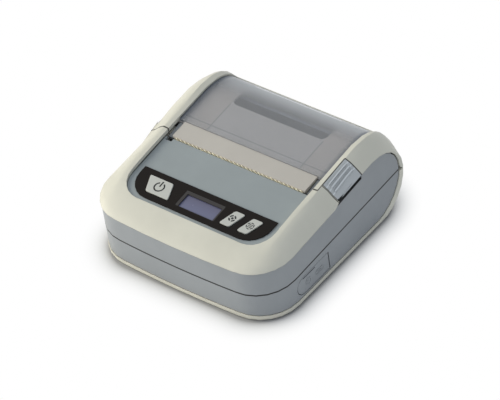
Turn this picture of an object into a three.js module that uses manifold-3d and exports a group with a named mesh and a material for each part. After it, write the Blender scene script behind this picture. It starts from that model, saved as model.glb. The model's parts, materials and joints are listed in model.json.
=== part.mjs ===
// Portable label printer with a hinged paper cover, built as separate pieces.
// Millimetres, +Z up, front towards -Y. The origin is on the table, under the middle of the printer.
// Inside this file Y is measured back from the front face, and the last group moves it to the middle.

import * as THREE from 'three';
import { mergeVertices } from 'three/addons/utils/BufferGeometryUtils.js';
import Module from 'manifold-3d';

const wasm = await Module();
wasm.setup();

// Gaps shared by all pieces
const gap = 0.3;          // between neighbouring pieces
const seatGap = 0.1;      // under a glued film or a soldered part
const runGap = 0.15;      // round a pin or a shaft in its bore
const overrun = 4;        // how far a cutter passes the face that it cuts

// Sizes. A "room" is a distance from the case's outer face, a "drop" is one below the crown.

const form = {
  width: 119,
  depth: 119,
  crownHeight: 49.6,      // top of the crown where the rear round starts
  cornerRadius: 22,
  frontBow: 1,            // the front face bulges this much in the middle
  underside: 0.6,         // height of the case above the table
  armWidth: 12.7,         // from a side face to the opening between the arms
  openRadius: 13,
  noseDrop: 5,            // how far the crown falls towards the front
  noseRun: 43,
  crestRise: 0.9,         // the arms' crests stand above the opening's edge at the rear
  rearRound: 27,          // depth of the rear round at the middle
  sideRound: 24,          // and at the side faces
  roundShare: 0.4738,     // height of the rear-most line as a share of the crown's
};
const crownSlope = 0.116;
const crestShare = 0.76;
const sideRoundPower = 1.35;
const noseInnerPower = 2.2;
const noseOuterPower = 0.65;
const rearUpperPowers = { side: 2.1, middle: 2.6 };
const rearLowerPower = 2;

// Grey side panels and the seams between the shells
const panel = {
  inset: 0.5,             // the grey walls stand back from the cream ones
  rimTop: 3.8,            // underside of the grey shells
  seamHeight: 17.4,
  seamGap: 0.5,
  bezelDrop: 7.366,       // lower edge of the front bezel, carried to the rear face
  armDrop: 3.11,          // the same line for the cover's arms
  edgeStep: 6,            // length of the soft step between those two lines
  rearReach: 21,          // depth of the panel's rear round
  coverGap: 0.8,          // gap between the panels' rear round and the cover
  wall: 2,
  lipWidth: 1,            // tongue behind the seam
  lipRise: 1.6,
};
const seamSlope = 0.05;
const bezelEdgeSlope = 0.086;
const armEdgeSlope = 0.11;
const panelUpperPower = 2.3;
const panelLowerPower = 1.8;
const shellWall = 2.2;    // cream shells

// Cover behind the front bezel, and the rear hinge
const cover = {
  length: 60,
  hingeRadius: 2.7,
  hingeRise: 1.5,         // above the rear-most line
  pinRadius: 1,
  knuckleFrom: 26,
  knuckleTo: 36,
  pinOverlap: 6,          // how far the pins reach into the cover's barrel
};
const webShare = 0.5;     // the hinge's webs as a share of its radius

// Paper bay
const bay = {
  sideRoom: 16.5,
  behindSplit: 5.8,
  rearRoom: 11.8,
  bottom: 4.8,
  topDrop: 2.4,
  wall: 1.6,
  lipBelow: 6.7,          // top of the front lip, under the platen's axis
  sideAbove: 0.8,         // side walls beside the platen's way out, over its axis
  sideBehind: 13.4,
};
const shaftShare = 0.72;  // the way in over the bowl reaches this far back

// Platen and gear train
const platen = {
  behindSplit: 3.6,
  drop: 13.4,
  rubberRadius: 5.2,
  rubberShort: 2.5,       // each end stops this far inside the bay
  shaftRadius: 2,
  shaftPast: 3.4,         // each end passes the opening by this
  bushRadius: 3.2,
  earGap: 0.8,
  earWall: 1.2,
};
const train = {
  moduleShare: 0.01008,   // gear module as a share of the crown's height
  platenTeeth: 22,
  idlerTeeth: 44,
  pinionTeeth: 12,
  width: 3,
  boreRadius: 1.5,
  webShare: 0.8,          // the idler's thin web as a share of its pitch radius
};
const idlerDirection = -1.94;    // radians, from the platen down to the idler
const toothShares = { root: 0.32, tip: 0.1 };
const addendumShare = 0.9;
const dedendumShare = 1.2;
const motor = { length: 15, floorRoom: 1.5, topRoom: 1.3, shaftShare: 0.65 };

// Printing unit, placed from the platen's axis and the bay's sides
const frame = {
  outside: 2,
  wall: 1.4,
  behind: 5.4,
  above: 2.8,
  ahead: 15.2,
  crossWall: 1.2,
  below: 11.7,
};
const head = {
  short: 2,
  wall: 1.9,              // ceramic carrier
  below: 6.7,
  above: 3.8,
  sinkDepth: 2.6,
  springRadius: 2.2,
  springSpread: 24,
  springTurns: 3,
};
const springWire = 0.3;
const tear = { short: 1.5, thickness: 0.6, above: 5, edge: 1.5, tooth: 1.1, pitch: 2.65 };

// Control panel in its own sloping frame: x, distance up the slope, height above the panel
const deck = {
  rise: 6.76,             // top of its rear edge, over the platen's axis
  thickness: 2,
  bossRadius: 2.4,
  filmSide: 3.9,          // from the opening's side to the film
  film: 0.5,
  notch: 4,               // at the rear left corner, beside the tear bar
  keyRise: 0.5,           // keys above the film
  keyTravel: 0.6,
  keyFlange: 1,
  keyStem: 1.6,
  keyFrontRoom: 3.9,      // from the film's edges to the keys
  keyRearRoom: 3.7,
  keyCorner: 1.1,
  displayRecess: 0.9,
  displayRoom: 3.4,
  displayCorner: 0.6,
  displayBorder: 1,
};
const deckSlope = 0.1285;
// Edges on the way from the front face to the platen
const noseShares = { openFront: 0.2364, filmFront: 0.27, filmRear: 0.5527 };
const filmCornerShare = 0.73;     // corner radius as a share of the film's depth
const displayShares = { left: -0.296, right: 0.2867 };
// Each key's corners, as shares of the film's half width
const keyShares = {
  power_button: { rearLeft: -0.8485, rearRight: -0.4965, frontRight: -0.4103, frontLeft: -0.7506 },
  settings_button: { rearLeft: 0.4406, rearRight: 0.5851, frontRight: 0.5082, frontLeft: 0.3613 },
  feed_button: { rearLeft: 0.7063, rearRight: 0.8508, frontRight: 0.7646, frontLeft: 0.6247 },
};

// Electronics
const board = {
  sideRoom: 17.5,
  rearRoom: 1,            // to the printing unit's cross wall
  below: 10.76,           // under the control panel's front
  chipHalf: 11,
  chipShare: 0.25,
  thickness: 1.6,
};
const battery = {
  leftRoom: 33.5,
  rightRoom: 17.5,
  front: 9,
  rearRoom: 1.4,
  topRoom: 2.4,           // to the main board
  cornerShare: 0.36,
};

// Base
const base = {
  floorTop: 2.9,
  edgeRound: 1.3,
  doorMargin: 2,          // the battery door is wider than the battery by this
  doorThickness: 1.2,
  doorGripHalf: 7,
  doorGrips: 4,
  ledge: 2,
  footRadius: 5,
  footSeat: 1,
  footSideRoom: 8.5,
  footFront: 29,
  footToScrew: 9,
  screwRadius: 1.2,
  screwHead: 2.4,
  headDepth: 1.3,
  screwLength: 11,
  screwFront: 17,
  screwFrontSideRoom: 9.9,
  screwBehindLatch: 2.5,
  screwRearSideRoom: 9,
  postRadius: 3,
};

// Latch on the right shoulder, and its spring
const latch = {
  sideRoom: 9.55,
  behindSplit: 4.3,
  lengthShare: 0.32,      // of the cover's length
  fingerGap: 2.4,
  stemInner: 7.9,
  stemOuter: 4.6,
  stemBelow: 4.2,         // under the platen's axis
  springLength: 6.5,
  springRadius: 1.9,
  springTurns: 4,
  ribs: 3,
  ribHeight: 0.5,
  ribWidth: 0.9,
  hookWall: 1.8,
};

// Ports on the right side
const port = {
  cornerRoom: 1.5,        // behind the case's rounded corner
  length: 26.5,
  bottom: 4.9,
  top: 15.3,
  cover: 1.3,
  nailSlot: 10,
  usbRoom: 8,
  jackRoom: 9,
  socketHeight: 9.8,
  usbHalfWidth: 4.5,
  usbHalfHeight: 1.7,
  jackRadius: 3.2,
  depth: 6.5,
};

// Paper guides with their racks
const guide = {
  restRoom: 2,            // from the bay's sides
  wall: 1.6,
  discShare: 0.566,       // disc over bowl
  hubRadius: 5.6,
  hubLength: 2.5,
  rackAhead: 0.2,         // of the platen's axis
  rackDepth: 3,
  pinionAbove: 7.8,       // over the bay's bottom
  module: 0.6,
  pinionTeeth: 10,
  pinionBore: 1.2,
  armShare: 0.667,        // the arms leave this share of the pinion's radius free
  rackBack: 1.5,
  rackOverlap: 9,         // each rack ends this far past the pinion
  channelWall: 1.4,
};

// Cover's window, inner frame and front bar
const glazing = {
  below: 1,               // window below the crown
  thickness: 1.8,
  behindSplit: 9.3,
  frameThickness: 1.2,
  framePast: 1.6,         // the frame reaches this far under the arms
  cutSide: 16.8,          // from the opening's side to the viewing slot
  cutFrontRoom: 28,
  cutRearRoom: 12,
  cutCorner: 3,
  ribHeight: 0.6,
  ribWidth: 0.9,
  crossRibRoom: 5,        // from the window's front edge
  barShort: 0.2,
  barAhead: 5.45,         // of the platen's axis
  barThickness: 1.4,
};
const windowEndAngle = 0.52;     // radians down the rear round where the window ends
const windowOverlap = 0.03;      // radians

// Facets
const sidesOf = { small: 12, medium: 16, large: 24, bay: 28 };
const cornerSteps = 6;
const roundSteps = 12;
const crownSteps = 9;
const edgeSteps = 4;
const stripSteps = 4;
const stripTurns = 8;
const bowSteps = 4;
const cornerCutSteps = 3;
const coilSteps = 9;
const wireSides = 5;

const turn = Math.PI * 2;
const quarter = Math.PI / 2;

// Places that follow from the sizes

const half = form.width / 2;
const openHalf = half - form.armWidth;
const roundHeight = form.crownHeight * form.roundShare;
const bezelEdge = form.crownHeight - panel.bezelDrop - bezelEdgeSlope * form.depth;
const armEdge = form.crownHeight - panel.armDrop - armEdgeSlope * form.depth;
const splitY = form.depth - cover.length;
const hingeY = form.depth - cover.hingeRadius;
const hingeZ = roundHeight + cover.hingeRise;

const platenY = splitY + platen.behindSplit;
const platenZ = form.crownHeight - platen.drop;
const openFront = platenY * noseShares.openFront;
const bayHalf = half - bay.sideRoom;
const bayFront = splitY + bay.behindSplit;
const bayRear = form.depth - bay.rearRoom;
const bayDiameter = Math.min(form.crownHeight - bay.topDrop - bay.bottom, bayRear - bayFront);
const bayRadius = bayDiameter / 2;
const bayY = (bayFront + bayRear) / 2;
const bayZ = bay.bottom + bayRadius;
const bayOuterHalf = bayHalf + bay.wall;
const lipTop = platenZ - bay.lipBelow;
const sideTop = platenZ + bay.sideAbove;
const sideStep = platenY + bay.sideBehind;
const rubberHalf = bayHalf - platen.rubberShort;
const shaftHalf = openHalf + platen.shaftPast;
const earInner = rubberHalf + platen.earGap;
const gearModule = form.crownHeight * train.moduleShare;

const frameInner = bayHalf + frame.outside;
const frameRear = platenY + frame.behind;
const frameTop = platenZ + frame.above;
const crossFront = platenY - frame.ahead;
const crossBottom = platenZ - frame.below;
const headHalf = bayHalf - head.short;
const headBottom = platenZ - head.below;
const headTop = platenZ + head.above;
const headFace = platenY - platen.rubberRadius - gap;
const tearHalf = bayHalf - tear.short;
const tearBottom = platenZ + tear.above;
const tearValley = tearBottom + tear.edge;

const panelRear = headFace - tear.thickness - gap;
const deckZ = platenZ + deck.rise - deckSlope * panelRear;
const filmHalf = openHalf - deck.filmSide;
const filmFront = platenY * noseShares.filmFront;
const filmRear = platenY * noseShares.filmRear;
const filmRadius = (filmRear - filmFront) * filmCornerShare;
const keyFront = filmFront + deck.keyFrontRoom;
const keyRear = filmRear - deck.keyRearRoom;
const boardHalf = half - board.sideRoom;
const boardFront = openFront + gap;
const boardBottom = deckZ - board.below;
const boardTop = boardBottom + board.thickness;
const motorTop = Math.min(boardBottom, crossBottom) - motor.topRoom;
const motorRadius = (motorTop - base.floorTop - motor.floorRoom) / 2;
const motorZ = base.floorTop + motor.floorRoom + motorRadius;
const boardRear = crossFront - board.rearRoom;
const batteryLeft = -half + battery.leftRoom;
const batteryRight = half - battery.rightRoom;
const batteryBottom = base.floorTop + gap;
const batteryTop = boardBottom - battery.topRoom;
const batteryRear = crossFront - battery.rearRoom;

const footX = half - base.footSideRoom;
const screwFront = [half - base.screwFrontSideRoom, base.screwFront];

const latchInner = half - latch.sideRoom;
const latchFront = splitY + latch.behindSplit;
const latchRear = latchFront + cover.length * latch.lengthShare;
const screwRear = [half - base.screwRearSideRoom, latchRear + base.screwBehindLatch];
const footRear = screwRear[1] - base.footToScrew;
const stemInner = half - latch.stemInner;
const stemOuter = half - latch.stemOuter;
const hookInner = openHalf + seatGap;
const stemBottom = platenZ - latch.stemBelow;
const springBottom = stemBottom - latch.springLength;
const portFront = form.cornerRadius + port.cornerRoom;
const portRear = portFront + port.length;
const usbY = portRear - port.usbRoom;
const jackY = portFront + port.jackRoom;

const guideRest = bayHalf - guide.restRoom;
const rackFront = platenY - guide.rackAhead;
const pinionZ = bay.bottom + guide.pinionAbove;
const discRadius = bayRadius * guide.discShare;
const glassFront = splitY + glazing.behindSplit;
const frameHalf = openHalf + glazing.framePast;
const cutHalf = openHalf - glazing.cutSide;
const crossRibY = glassFront + glazing.crossRibRoom;
const barHalf = bayHalf - glazing.barShort;
const barFront = platenY - glazing.barAhead;

// The keys' corners, measured from the middle
const keys = Object.fromEntries(Object.entries(keyShares).map(([name, shares]) => [
  name, Object.fromEntries(Object.entries(shares).map(([corner, share]) => [corner, share * filmHalf])),
]));

// Lines and surfaces of the outer form

function blend(from, to, value) {
  const share = Math.min(1, Math.max(0, (value - from) / (to - from)));
  return share * share * (3 - 2 * share);
}

const roundStart = form.depth - form.rearRound;

function crownZ(y) {
  const fall = Math.max(0, 1 - y / form.noseRun);
  return form.crownHeight - (roundStart - y) * crownSlope - form.noseDrop * fall * fall;
}

function crestRiseAt(y) {
  return form.crestRise * blend(form.noseRun, roundStart, y);
}

// Lower edge of the cream shells along the sides: bezel in front, cover behind, with a soft step
const edgeStep = splitY + panel.edgeStep;

function edgeZ(y) {
  const bezelLine = bezelEdge + bezelEdgeSlope * y;
  const armLine = armEdge + armEdgeSlope * y;
  return THREE.MathUtils.lerp(bezelLine, armLine, blend(splitY, edgeStep, y));
}

function frontY(x, inset) {
  const flat = half - form.cornerRadius;
  const radius = form.cornerRadius - inset;
  const across = Math.abs(x);
  const bow = form.frontBow * Math.min(1, across / flat) ** 2 + inset;
  if (across <= flat) return bow;
  const past = Math.min(radius, across - flat);
  return bow + radius - Math.sqrt(radius * radius - past * past);
}

// Distance inside a U-shaped outline that is open towards the rear
function depthInside(x, y, outlineHalf, outlineFront, radius) {
  const across = Math.abs(x);
  const toCorner = across - (outlineHalf - radius);
  const ahead = outlineFront + radius - y;
  if (toCorner > 0 && ahead > 0) return radius - Math.hypot(toCorner, ahead);
  return ahead > 0 ? Math.min(outlineHalf - across, y - outlineFront) : outlineHalf - across;
}

function topZ(x, y, inset) {
  const flat = half - form.cornerRadius;
  const front = form.frontBow * Math.min(1, Math.abs(x) / flat) ** 2 + inset;
  const outer = Math.max(0, depthInside(x, y, half - inset, front, form.cornerRadius - inset));
  const inner = depthInside(x, y, openHalf, openFront, form.openRadius);
  const crown = crownZ(y) - inset;
  if (inner >= 0) return crown;
  const share = outer / (outer - inner);
  const rise = crestRiseAt(y);
  if (share > crestShare) return crown + rise * (1 - share) / (1 - crestShare);
  const low = edgeZ(y) - inset;
  const sideShare = 1 - (1 - share / crestShare) ** sideRoundPower;
  const noseShare = (1 - (1 - share) ** noseInnerPower) ** noseOuterPower;
  const alongSide = blend(openFront - form.openRadius / 2, openFront + form.openRadius, y);
  return low + (crown + rise - low) * THREE.MathUtils.lerp(noseShare, sideShare, alongSide);
}

// One point of a squared-off round; angle 0 points to the rear and a quarter turn points up
function roundPoint(centreY, centreZ, reachY, reachZ, power, angle) {
  const along = Math.abs(Math.cos(angle)) ** (2 / power);
  const up = Math.sign(Math.sin(angle)) * Math.abs(Math.sin(angle)) ** (2 / power);
  return [centreY + reachY * along, centreZ + reachZ * up];
}

function crestShareAt(x) {
  const share = Math.min(1, (half - Math.abs(x)) / (half - openHalf));
  return 1 - (1 - share) ** 2;
}

function rearPoint(x, inset, angle) {
  const share = crestShareAt(x);
  const reachY = THREE.MathUtils.lerp(form.sideRound, form.rearRound, share) - inset;
  const upper = topZ(x, roundStart, inset) - roundHeight;
  const lower = roundHeight - form.underside - inset;
  const upperPower = THREE.MathUtils.lerp(rearUpperPowers.side, rearUpperPowers.middle, share);
  return angle > 0
    ? roundPoint(roundStart, roundHeight, reachY, upper, upperPower, angle)
    : roundPoint(roundStart, roundHeight, reachY, lower, rearLowerPower, angle);
}

// Outline of the form in the plane at x, with the same number of points for every x
function sectionAt(x, inset) {
  const front = frontY(x, inset);
  const points = [[front, form.underside + inset]];
  for (let i = 0; i <= roundSteps; i += 1) {
    points.push(rearPoint(x, inset, -quarter + (i / roundSteps) * Math.PI));
  }
  for (let i = crownSteps - 1; i >= 0; i -= 1) {
    const y = front + (roundStart - front) * (i / crownSteps) ** 2;
    points.push([y, topZ(x, y, inset)]);
  }
  return points;
}

// Solid helpers

function solidOf(geometry) {
  const plain = new THREE.BufferGeometry();
  plain.setAttribute('position', geometry.getAttribute('position'));
  plain.setIndex(geometry.getIndex());
  const merged = mergeVertices(plain);
  return new wasm.Manifold(new wasm.Mesh({
    numProp: 3,
    vertProperties: Float32Array.from(merged.getAttribute('position').array),
    triVerts: Uint32Array.from(merged.getIndex().array),
  }));
}

function geometryOf(solid) {
  const mesh = solid.getMesh();
  const geometry = new THREE.BufferGeometry();
  geometry.setAttribute('position', new THREE.Float32BufferAttribute(mesh.vertProperties, 3));
  geometry.setIndex(new THREE.BufferAttribute(Uint32Array.from(mesh.triVerts), 1));
  geometry.computeVertexNormals();
  return geometry;
}

const join = (first, ...others) => others.reduce((sum, next) => sum.add(next), first);
const cut = (first, ...others) => others.reduce((rest, next) => rest.subtract(next), first);

function shapeOf(points) {
  return new THREE.Shape(points.map(([a, b]) => new THREE.Vector2(a, b)));
}

function extruded(points, depth, holes = []) {
  const shape = shapeOf(points);
  holes.forEach((hole) => shape.holes.push(shapeOf(hole)));
  return new THREE.ExtrudeGeometry(shape, { depth, bevelEnabled: false, curveSegments: 1 });
}

// Slabs: the outline lies across the named axis and is carried along it
function slabX(points, from, to, holes) {
  const geometry = extruded(points, to - from, holes);
  const basis = new THREE.Matrix4().makeBasis(
    new THREE.Vector3(0, 1, 0), new THREE.Vector3(0, 0, 1), new THREE.Vector3(1, 0, 0));
  return solidOf(geometry.applyMatrix4(basis).translate(from, 0, 0));
}

function slabY(points, from, to, holes) {
  const geometry = extruded(points, to - from, holes);
  const basis = new THREE.Matrix4().makeBasis(
    new THREE.Vector3(1, 0, 0), new THREE.Vector3(0, 0, 1), new THREE.Vector3(0, -1, 0));
  return solidOf(geometry.applyMatrix4(basis).translate(0, to, 0));
}

function slabZ(points, from, to, holes) {
  return solidOf(extruded(points, to - from, holes).translate(0, 0, from));
}

function box([x0, x1], [y0, y1], [z0, z1]) {
  const geometry = new THREE.BoxGeometry(x1 - x0, y1 - y0, z1 - z0);
  return solidOf(geometry.translate((x0 + x1) / 2, (y0 + y1) / 2, (z0 + z1) / 2));
}

function arc(centreA, centreB, radius, from, to, steps) {
  const points = [];
  for (let i = 0; i <= steps; i += 1) {
    const angle = from + ((to - from) * i) / steps;
    points.push([centreA + radius * Math.cos(angle), centreB + radius * Math.sin(angle)]);
  }
  return points;
}

function circle(centreA, centreB, radius, sides) {
  return arc(centreA, centreB, radius, 0, turn, sides).slice(0, -1);
}

function roundedRect([a0, a1], [b0, b1], radius, steps = cornerCutSteps) {
  return [
    ...arc(a1 - radius, b0 + radius, radius, -quarter, 0, steps),
    ...arc(a1 - radius, b1 - radius, radius, 0, quarter, steps),
    ...arc(a0 + radius, b1 - radius, radius, quarter, Math.PI, steps),
    ...arc(a0 + radius, b0 + radius, radius, Math.PI, turn - quarter, steps),
  ];
}

// A length along X on one side of the middle: side -1 is the left and 1 the right
const spanOf = (side, near, far) => [side * near, side * far].sort((a, b) => a - b);

const rodX = (y, z, radius, from, to, sides = sidesOf.medium) => slabX(circle(y, z, radius, sides), from, to);
const rodY = (x, z, radius, from, to, sides = sidesOf.medium) => slabY(circle(x, z, radius, sides), from, to);
const rodZ = (x, y, radius, from, to, sides = sidesOf.medium) => slabZ(circle(x, y, radius, sides), from, to);

// Outer form as a loft of sections across the width
function formSolid(inset) {
  const flat = half - form.cornerRadius;
  const radius = form.cornerRadius - inset;
  const stations = [0, flat / 2, openHalf];
  for (let i = 0; i <= cornerSteps; i += 1) {
    stations.push(flat + radius * Math.sin((i / cornerSteps) * quarter));
  }
  const crest = half - (half - openHalf) * crestShare;
  stations.push(crest);
  const rising = stations.sort((a, b) => a - b);
  const xs = [...rising.slice(1).reverse().map((x) => -x), ...rising];
  const sections = xs.map((x) => sectionAt(x, inset));
  const count = sections[0].length;
  const vertices = sections.flatMap((section, s) => section.flatMap(([y, z]) => [xs[s], y, z]));
  const triangles = [];
  for (let s = 0; s + 1 < xs.length; s += 1) {
    for (let i = 0; i < count; i += 1) {
      const next = (i + 1) % count;
      const [a, b] = [s * count + i, s * count + next];
      const [c, d] = [a + count, b + count];
      triangles.push(a, b, d, a, d, c);
    }
  }
  const flatSection = sections[0].map(([y, z]) => new THREE.Vector2(y, z));
  const endFaces = THREE.ShapeUtils.triangulateShape(flatSection, []);
  const last = (xs.length - 1) * count;
  endFaces.forEach(([a, b, c]) => {
    triangles.push(a, c, b);
    triangles.push(last + a, last + b, last + c);
  });
  const geometry = new THREE.BufferGeometry();
  geometry.setAttribute('position', new THREE.Float32BufferAttribute(vertices, 3));
  geometry.setIndex(triangles);
  return solidOf(geometry);
}

// Outline of the case seen from above, rounded in front and square at the rear
function planOutline(inset, rear) {
  const flat = half - form.cornerRadius;
  const points = [];
  for (let i = -bowSteps; i <= bowSteps; i += 1) {
    const x = (flat * i) / bowSteps;
    points.push([x, frontY(x, inset)]);
  }
  for (let i = 1; i <= cornerSteps; i += 1) {
    const x = flat + (form.cornerRadius - inset) * Math.sin((i / cornerSteps) * quarter);
    points.push([x, frontY(x, inset)]);
  }
  points.push([half - inset, rear], [-half + inset, rear]);
  for (let i = cornerSteps; i >= 1; i -= 1) {
    const x = flat + (form.cornerRadius - inset) * Math.sin((i / cornerSteps) * quarter);
    points.push([-x, frontY(x, inset)]);
  }
  return points;
}

// Outline of the grey side panels seen from the side, grown or shrunk by a margin
function panelOutline(grow, topGrow = grow) {
  const centreY = roundStart - gap;
  const lower = roundHeight - panel.rimTop + grow;
  const upper = edgeZ(centreY) - gap - roundHeight + topGrow;
  const points = [[-overrun, panel.rimTop - grow]];
  for (let i = 0; i <= roundSteps; i += 1) {
    const angle = -quarter + (i / roundSteps) * Math.PI;
    const above = angle > 0;
    points.push(roundPoint(centreY, roundHeight, panel.rearReach + grow, above ? upper : lower,
      above ? panelUpperPower : panelLowerPower, angle));
  }
  for (let i = edgeSteps; i >= 0; i -= 1) {
    const y = splitY + ((edgeStep - splitY) * i) / edgeSteps;
    points.push([y, edgeZ(y) - gap + topGrow]);
  }
  points.push([-overrun, edgeZ(-overrun) - gap + topGrow]);
  return points;
}

const fullWidth = [-half - overrun, half + overrun];
const aboveAll = form.crownHeight + form.crestRise + overrun;
const panelSlab = (grow, topGrow) => slabX(panelOutline(grow, topGrow), ...fullWidth);

// U-shaped opening between the bezel's arms, seen from above
function openingOutline(inset, rear) {
  const side = openHalf - inset;
  const radius = form.openRadius - inset;
  const front = openFront + inset;
  return [
    [-side, rear],
    ...arc(-side + radius, front + radius, radius, Math.PI, turn - quarter, cornerSteps),
    ...arc(side - radius, front + radius, radius, -quarter, 0, cornerSteps),
    [side, rear],
  ];
}

// Part of the space under or over a line that climbs towards the rear
function wedgeX(lineZ, farZ, [y0, y1], [x0, x1]) {
  const points = [[y0, lineZ(y0)], [y1, lineZ(y1)], [y1, farZ], [y0, farZ]];
  return slabX(farZ > lineZ(y0) ? points : points.reverse(), x0, x1);
}

// Materials and node list
const nodes = [];
const upright = 'upright';
const sloping = 'sloping';

function finish(colour, roughness, metalness = 0) {
  return () => new THREE.MeshStandardMaterial({ color: colour, roughness, metalness });
}

const cream = finish(0xcfcdc2, 0.5);
const grey = finish(0x9aa0a4, 0.55);
const lightGrey = finish(0xa2a8ac, 0.5);
const black = finish(0x26211f, 0.2);
const keyWhite = finish(0xcdcfcd, 0.45);
const displayBlue = finish(0x64648a, 0.25);
const smoke = finish(0x7b8086, 0.2);
const beige = finish(0xbdb9b1, 0.5);
const steel = finish(0xc4c4c0, 0.3, 1);
const rubber = finish(0x2a2a2c, 0.8);
const nylon = finish(0xe6e4da, 0.5);
const ceramic = finish(0xe9e4da, 0.3);
const aluminium = finish(0xb4b8ba, 0.35, 1);
const green = finish(0x1f5a3a, 0.5);
const darkPlastic = finish(0x3a3c40, 0.55);

function addNode(name, solid, material, placing = upright) {
  const mesh = new THREE.Mesh(geometryOf(solid), material());
  mesh.name = name;
  nodes.push({ mesh, placing });
}

// Shared cutters
const outerForm = formSolid(0);
const innerForm = formSolid(shellWall);
const creamShell = outerForm.subtract(innerForm);
const wallHollow = panelSlab(-panel.wall, -panel.wall).intersect(
  slabZ(planOutline(panel.inset + panel.wall, form.depth), 0, form.depth));
const greyOuter = panelSlab(0).intersect(
  slabZ(planOutline(panel.inset, form.depth), panel.rimTop, aboveAll));
const seamZ = (y) => panel.seamHeight + seamSlope * y;

function baySlab(grow, halfWidth, topZLimit) {
  const radius = bayRadius + grow;
  const bowl = slabX(circle(bayY, bayZ, radius, sidesOf.bay), -halfWidth, halfWidth);
  const rear = bayY + bayRadius * shaftShare + grow;
  const shaft = box([-halfWidth, halfWidth], [bayY - radius, rear], [bayZ, topZLimit]);
  return bowl.add(shaft);
}

// Post positions shared by the screws, the posts and the base
const screwSpots = [-1, 1].flatMap((side) => [screwFront, screwRear]
  .map(([x, y]) => [side * x, y]));
const footSpots = [-1, 1].flatMap((side) => [
  [side * footX, base.footFront],
  [side * footX, footRear],
]);

// Base cover with the rear wall, hinge knuckles, battery door and feet

const door = {
  left: batteryLeft - base.doorMargin,
  right: batteryRight + base.doorMargin,
  front: battery.front + base.doorThickness,
  rear: batteryRear + base.doorMargin,
};
const baseTop = hingeZ - cover.hingeRadius - gap;
const knuckleSpans = [-1, 1].map((side) => [side * cover.knuckleFrom, side * cover.knuckleTo]
  .sort((a, b) => a - b));

function buildTub() {
  const bevelled = new THREE.ExtrudeGeometry(shapeOf(planOutline(0, form.depth + overrun)), {
    depth: form.depth,
    bevelThickness: base.edgeRound,
    bevelSize: base.edgeRound,
    bevelOffset: -base.edgeRound,
    bevelSegments: 2,
  }).translate(0, 0, form.underside + base.edgeRound);
  const everyDepth = [-overrun, form.depth + overrun];
  const tub = outerForm.intersect(solidOf(bevelled)).intersect(box(fullWidth, everyDepth, [0, baseTop]));
  const hollow = innerForm.intersect(box(fullWidth, everyDepth, [base.floorTop, form.depth]));
  const rim = box(fullWidth, [-overrun, form.depth], [base.floorTop, panel.rimTop])
    .subtract(slabZ(planOutline(shellWall + panel.inset, form.depth + overrun), 0, form.depth));
  return cut(tub, panelSlab(gap, gap), hollow.subtract(rim));
}

function buildBaseCover() {
  let solid = buildTub();
  screwSpots.forEach(([x, y]) => {
    solid = solid.add(rodZ(x, y, base.postRadius + panel.wall / 2, form.underside + gap, panel.rimTop - gap));
  });
  const webHalf = cover.hingeRadius * webShare;
  knuckleSpans.forEach(([from, to]) => {
    const web = box([from, to], [hingeY - webHalf, hingeY + webHalf], [baseTop - cover.hingeRadius, hingeZ])
      .intersect(outerForm);
    const bore = rodX(hingeY, hingeZ, cover.pinRadius + runGap, from - overrun, to + overrun);
    solid = join(solid, web, rodX(hingeY, hingeZ, cover.hingeRadius, from, to)).subtract(bore);
  });
  const seat = rodX(hingeY, hingeZ, cover.hingeRadius + gap, ...fullWidth);
  const keep = knuckleSpans.map(([from, to]) => box([from, to], [0, form.depth * 2], [0, form.depth]));
  const doorHole = box([door.left - gap, door.right + gap],
    [door.front - base.doorThickness / 2 - gap, door.rear + gap],
    [0, form.underside + base.doorThickness + gap]);
  const batteryHole = box([door.left + base.ledge, door.right - base.ledge],
    [door.front + base.ledge, door.rear - base.ledge], [0, form.depth]);
  const bayRoom = baySlab(bay.wall + gap, bayOuterHalf + gap, form.depth);
  solid = cut(solid, cut(seat, ...keep), doorHole, batteryHole, bayRoom);
  footSpots.forEach(([x, y]) => {
    solid = solid.subtract(rodZ(x, y, base.footRadius + gap, 0, form.underside + base.footSeat));
  });
  screwSpots.forEach(([x, y]) => {
    solid = cut(solid,
      rodZ(x, y, base.screwHead + gap, 0, form.underside + base.headDepth, sidesOf.small),
      rodZ(x, y, base.screwRadius + gap, 0, form.depth, sidesOf.small));
  });
  return solid;
}
addNode('base_cover', buildBaseCover(), cream);

// The door turns on its rounded front edge
const doorAxisY = door.front;
const doorAxisZ = form.underside + base.doorThickness / 2;
const doorPlate = join(
  box([door.left, door.right], [doorAxisY, door.rear], [form.underside, form.underside + base.doorThickness]),
  rodX(doorAxisY, doorAxisZ, base.doorThickness / 2, door.left, door.right, sidesOf.small));
const doorMiddle = (door.left + door.right) / 2;
const doorGrips = [];
for (let i = 1; i <= base.doorGrips; i += 1) {
  const y = door.rear - base.doorThickness * 2 * i;
  doorGrips.push(box([doorMiddle - base.doorGripHalf, doorMiddle + base.doorGripHalf],
    [y - base.doorThickness, y], [0, form.underside + gap]));
}
addNode('battery_door', cut(doorPlate, ...doorGrips), cream);

const foot = (x, y) => slabZ(circle(x, y, base.footRadius, sidesOf.medium), 0,
  form.underside + base.footSeat - seatGap);
footSpots.forEach(([x, y], i) => addNode(`rubber_foot_${i + 1}`, foot(x, y), rubber));

const screw = (x, y) => join(
  rodZ(x, y, base.screwHead, form.underside + gap, form.underside + base.headDepth - seatGap, sidesOf.small),
  rodZ(x, y, base.screwRadius, form.underside + gap, form.underside + base.screwLength, sidesOf.small));
screwSpots.forEach(([x, y], i) => addNode(`base_screw_${i + 1}`, screw(x, y), steel));

// Lower housing: a ring between the base and the seam, with the port recess on the right

const portSide = half - panel.inset;
const portFloor = portSide - port.cover - gap;

function coverOutline(margin, rear) {
  const radius = (port.top - port.bottom) / 2 + margin;
  const middle = (port.top + port.bottom) / 2;
  return [
    [rear + margin, port.bottom - margin],
    [rear + margin, port.top + margin],
    ...arc(portFront + radius - margin, middle, radius, quarter, quarter * 3, cornerSteps),
  ];
}

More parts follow.
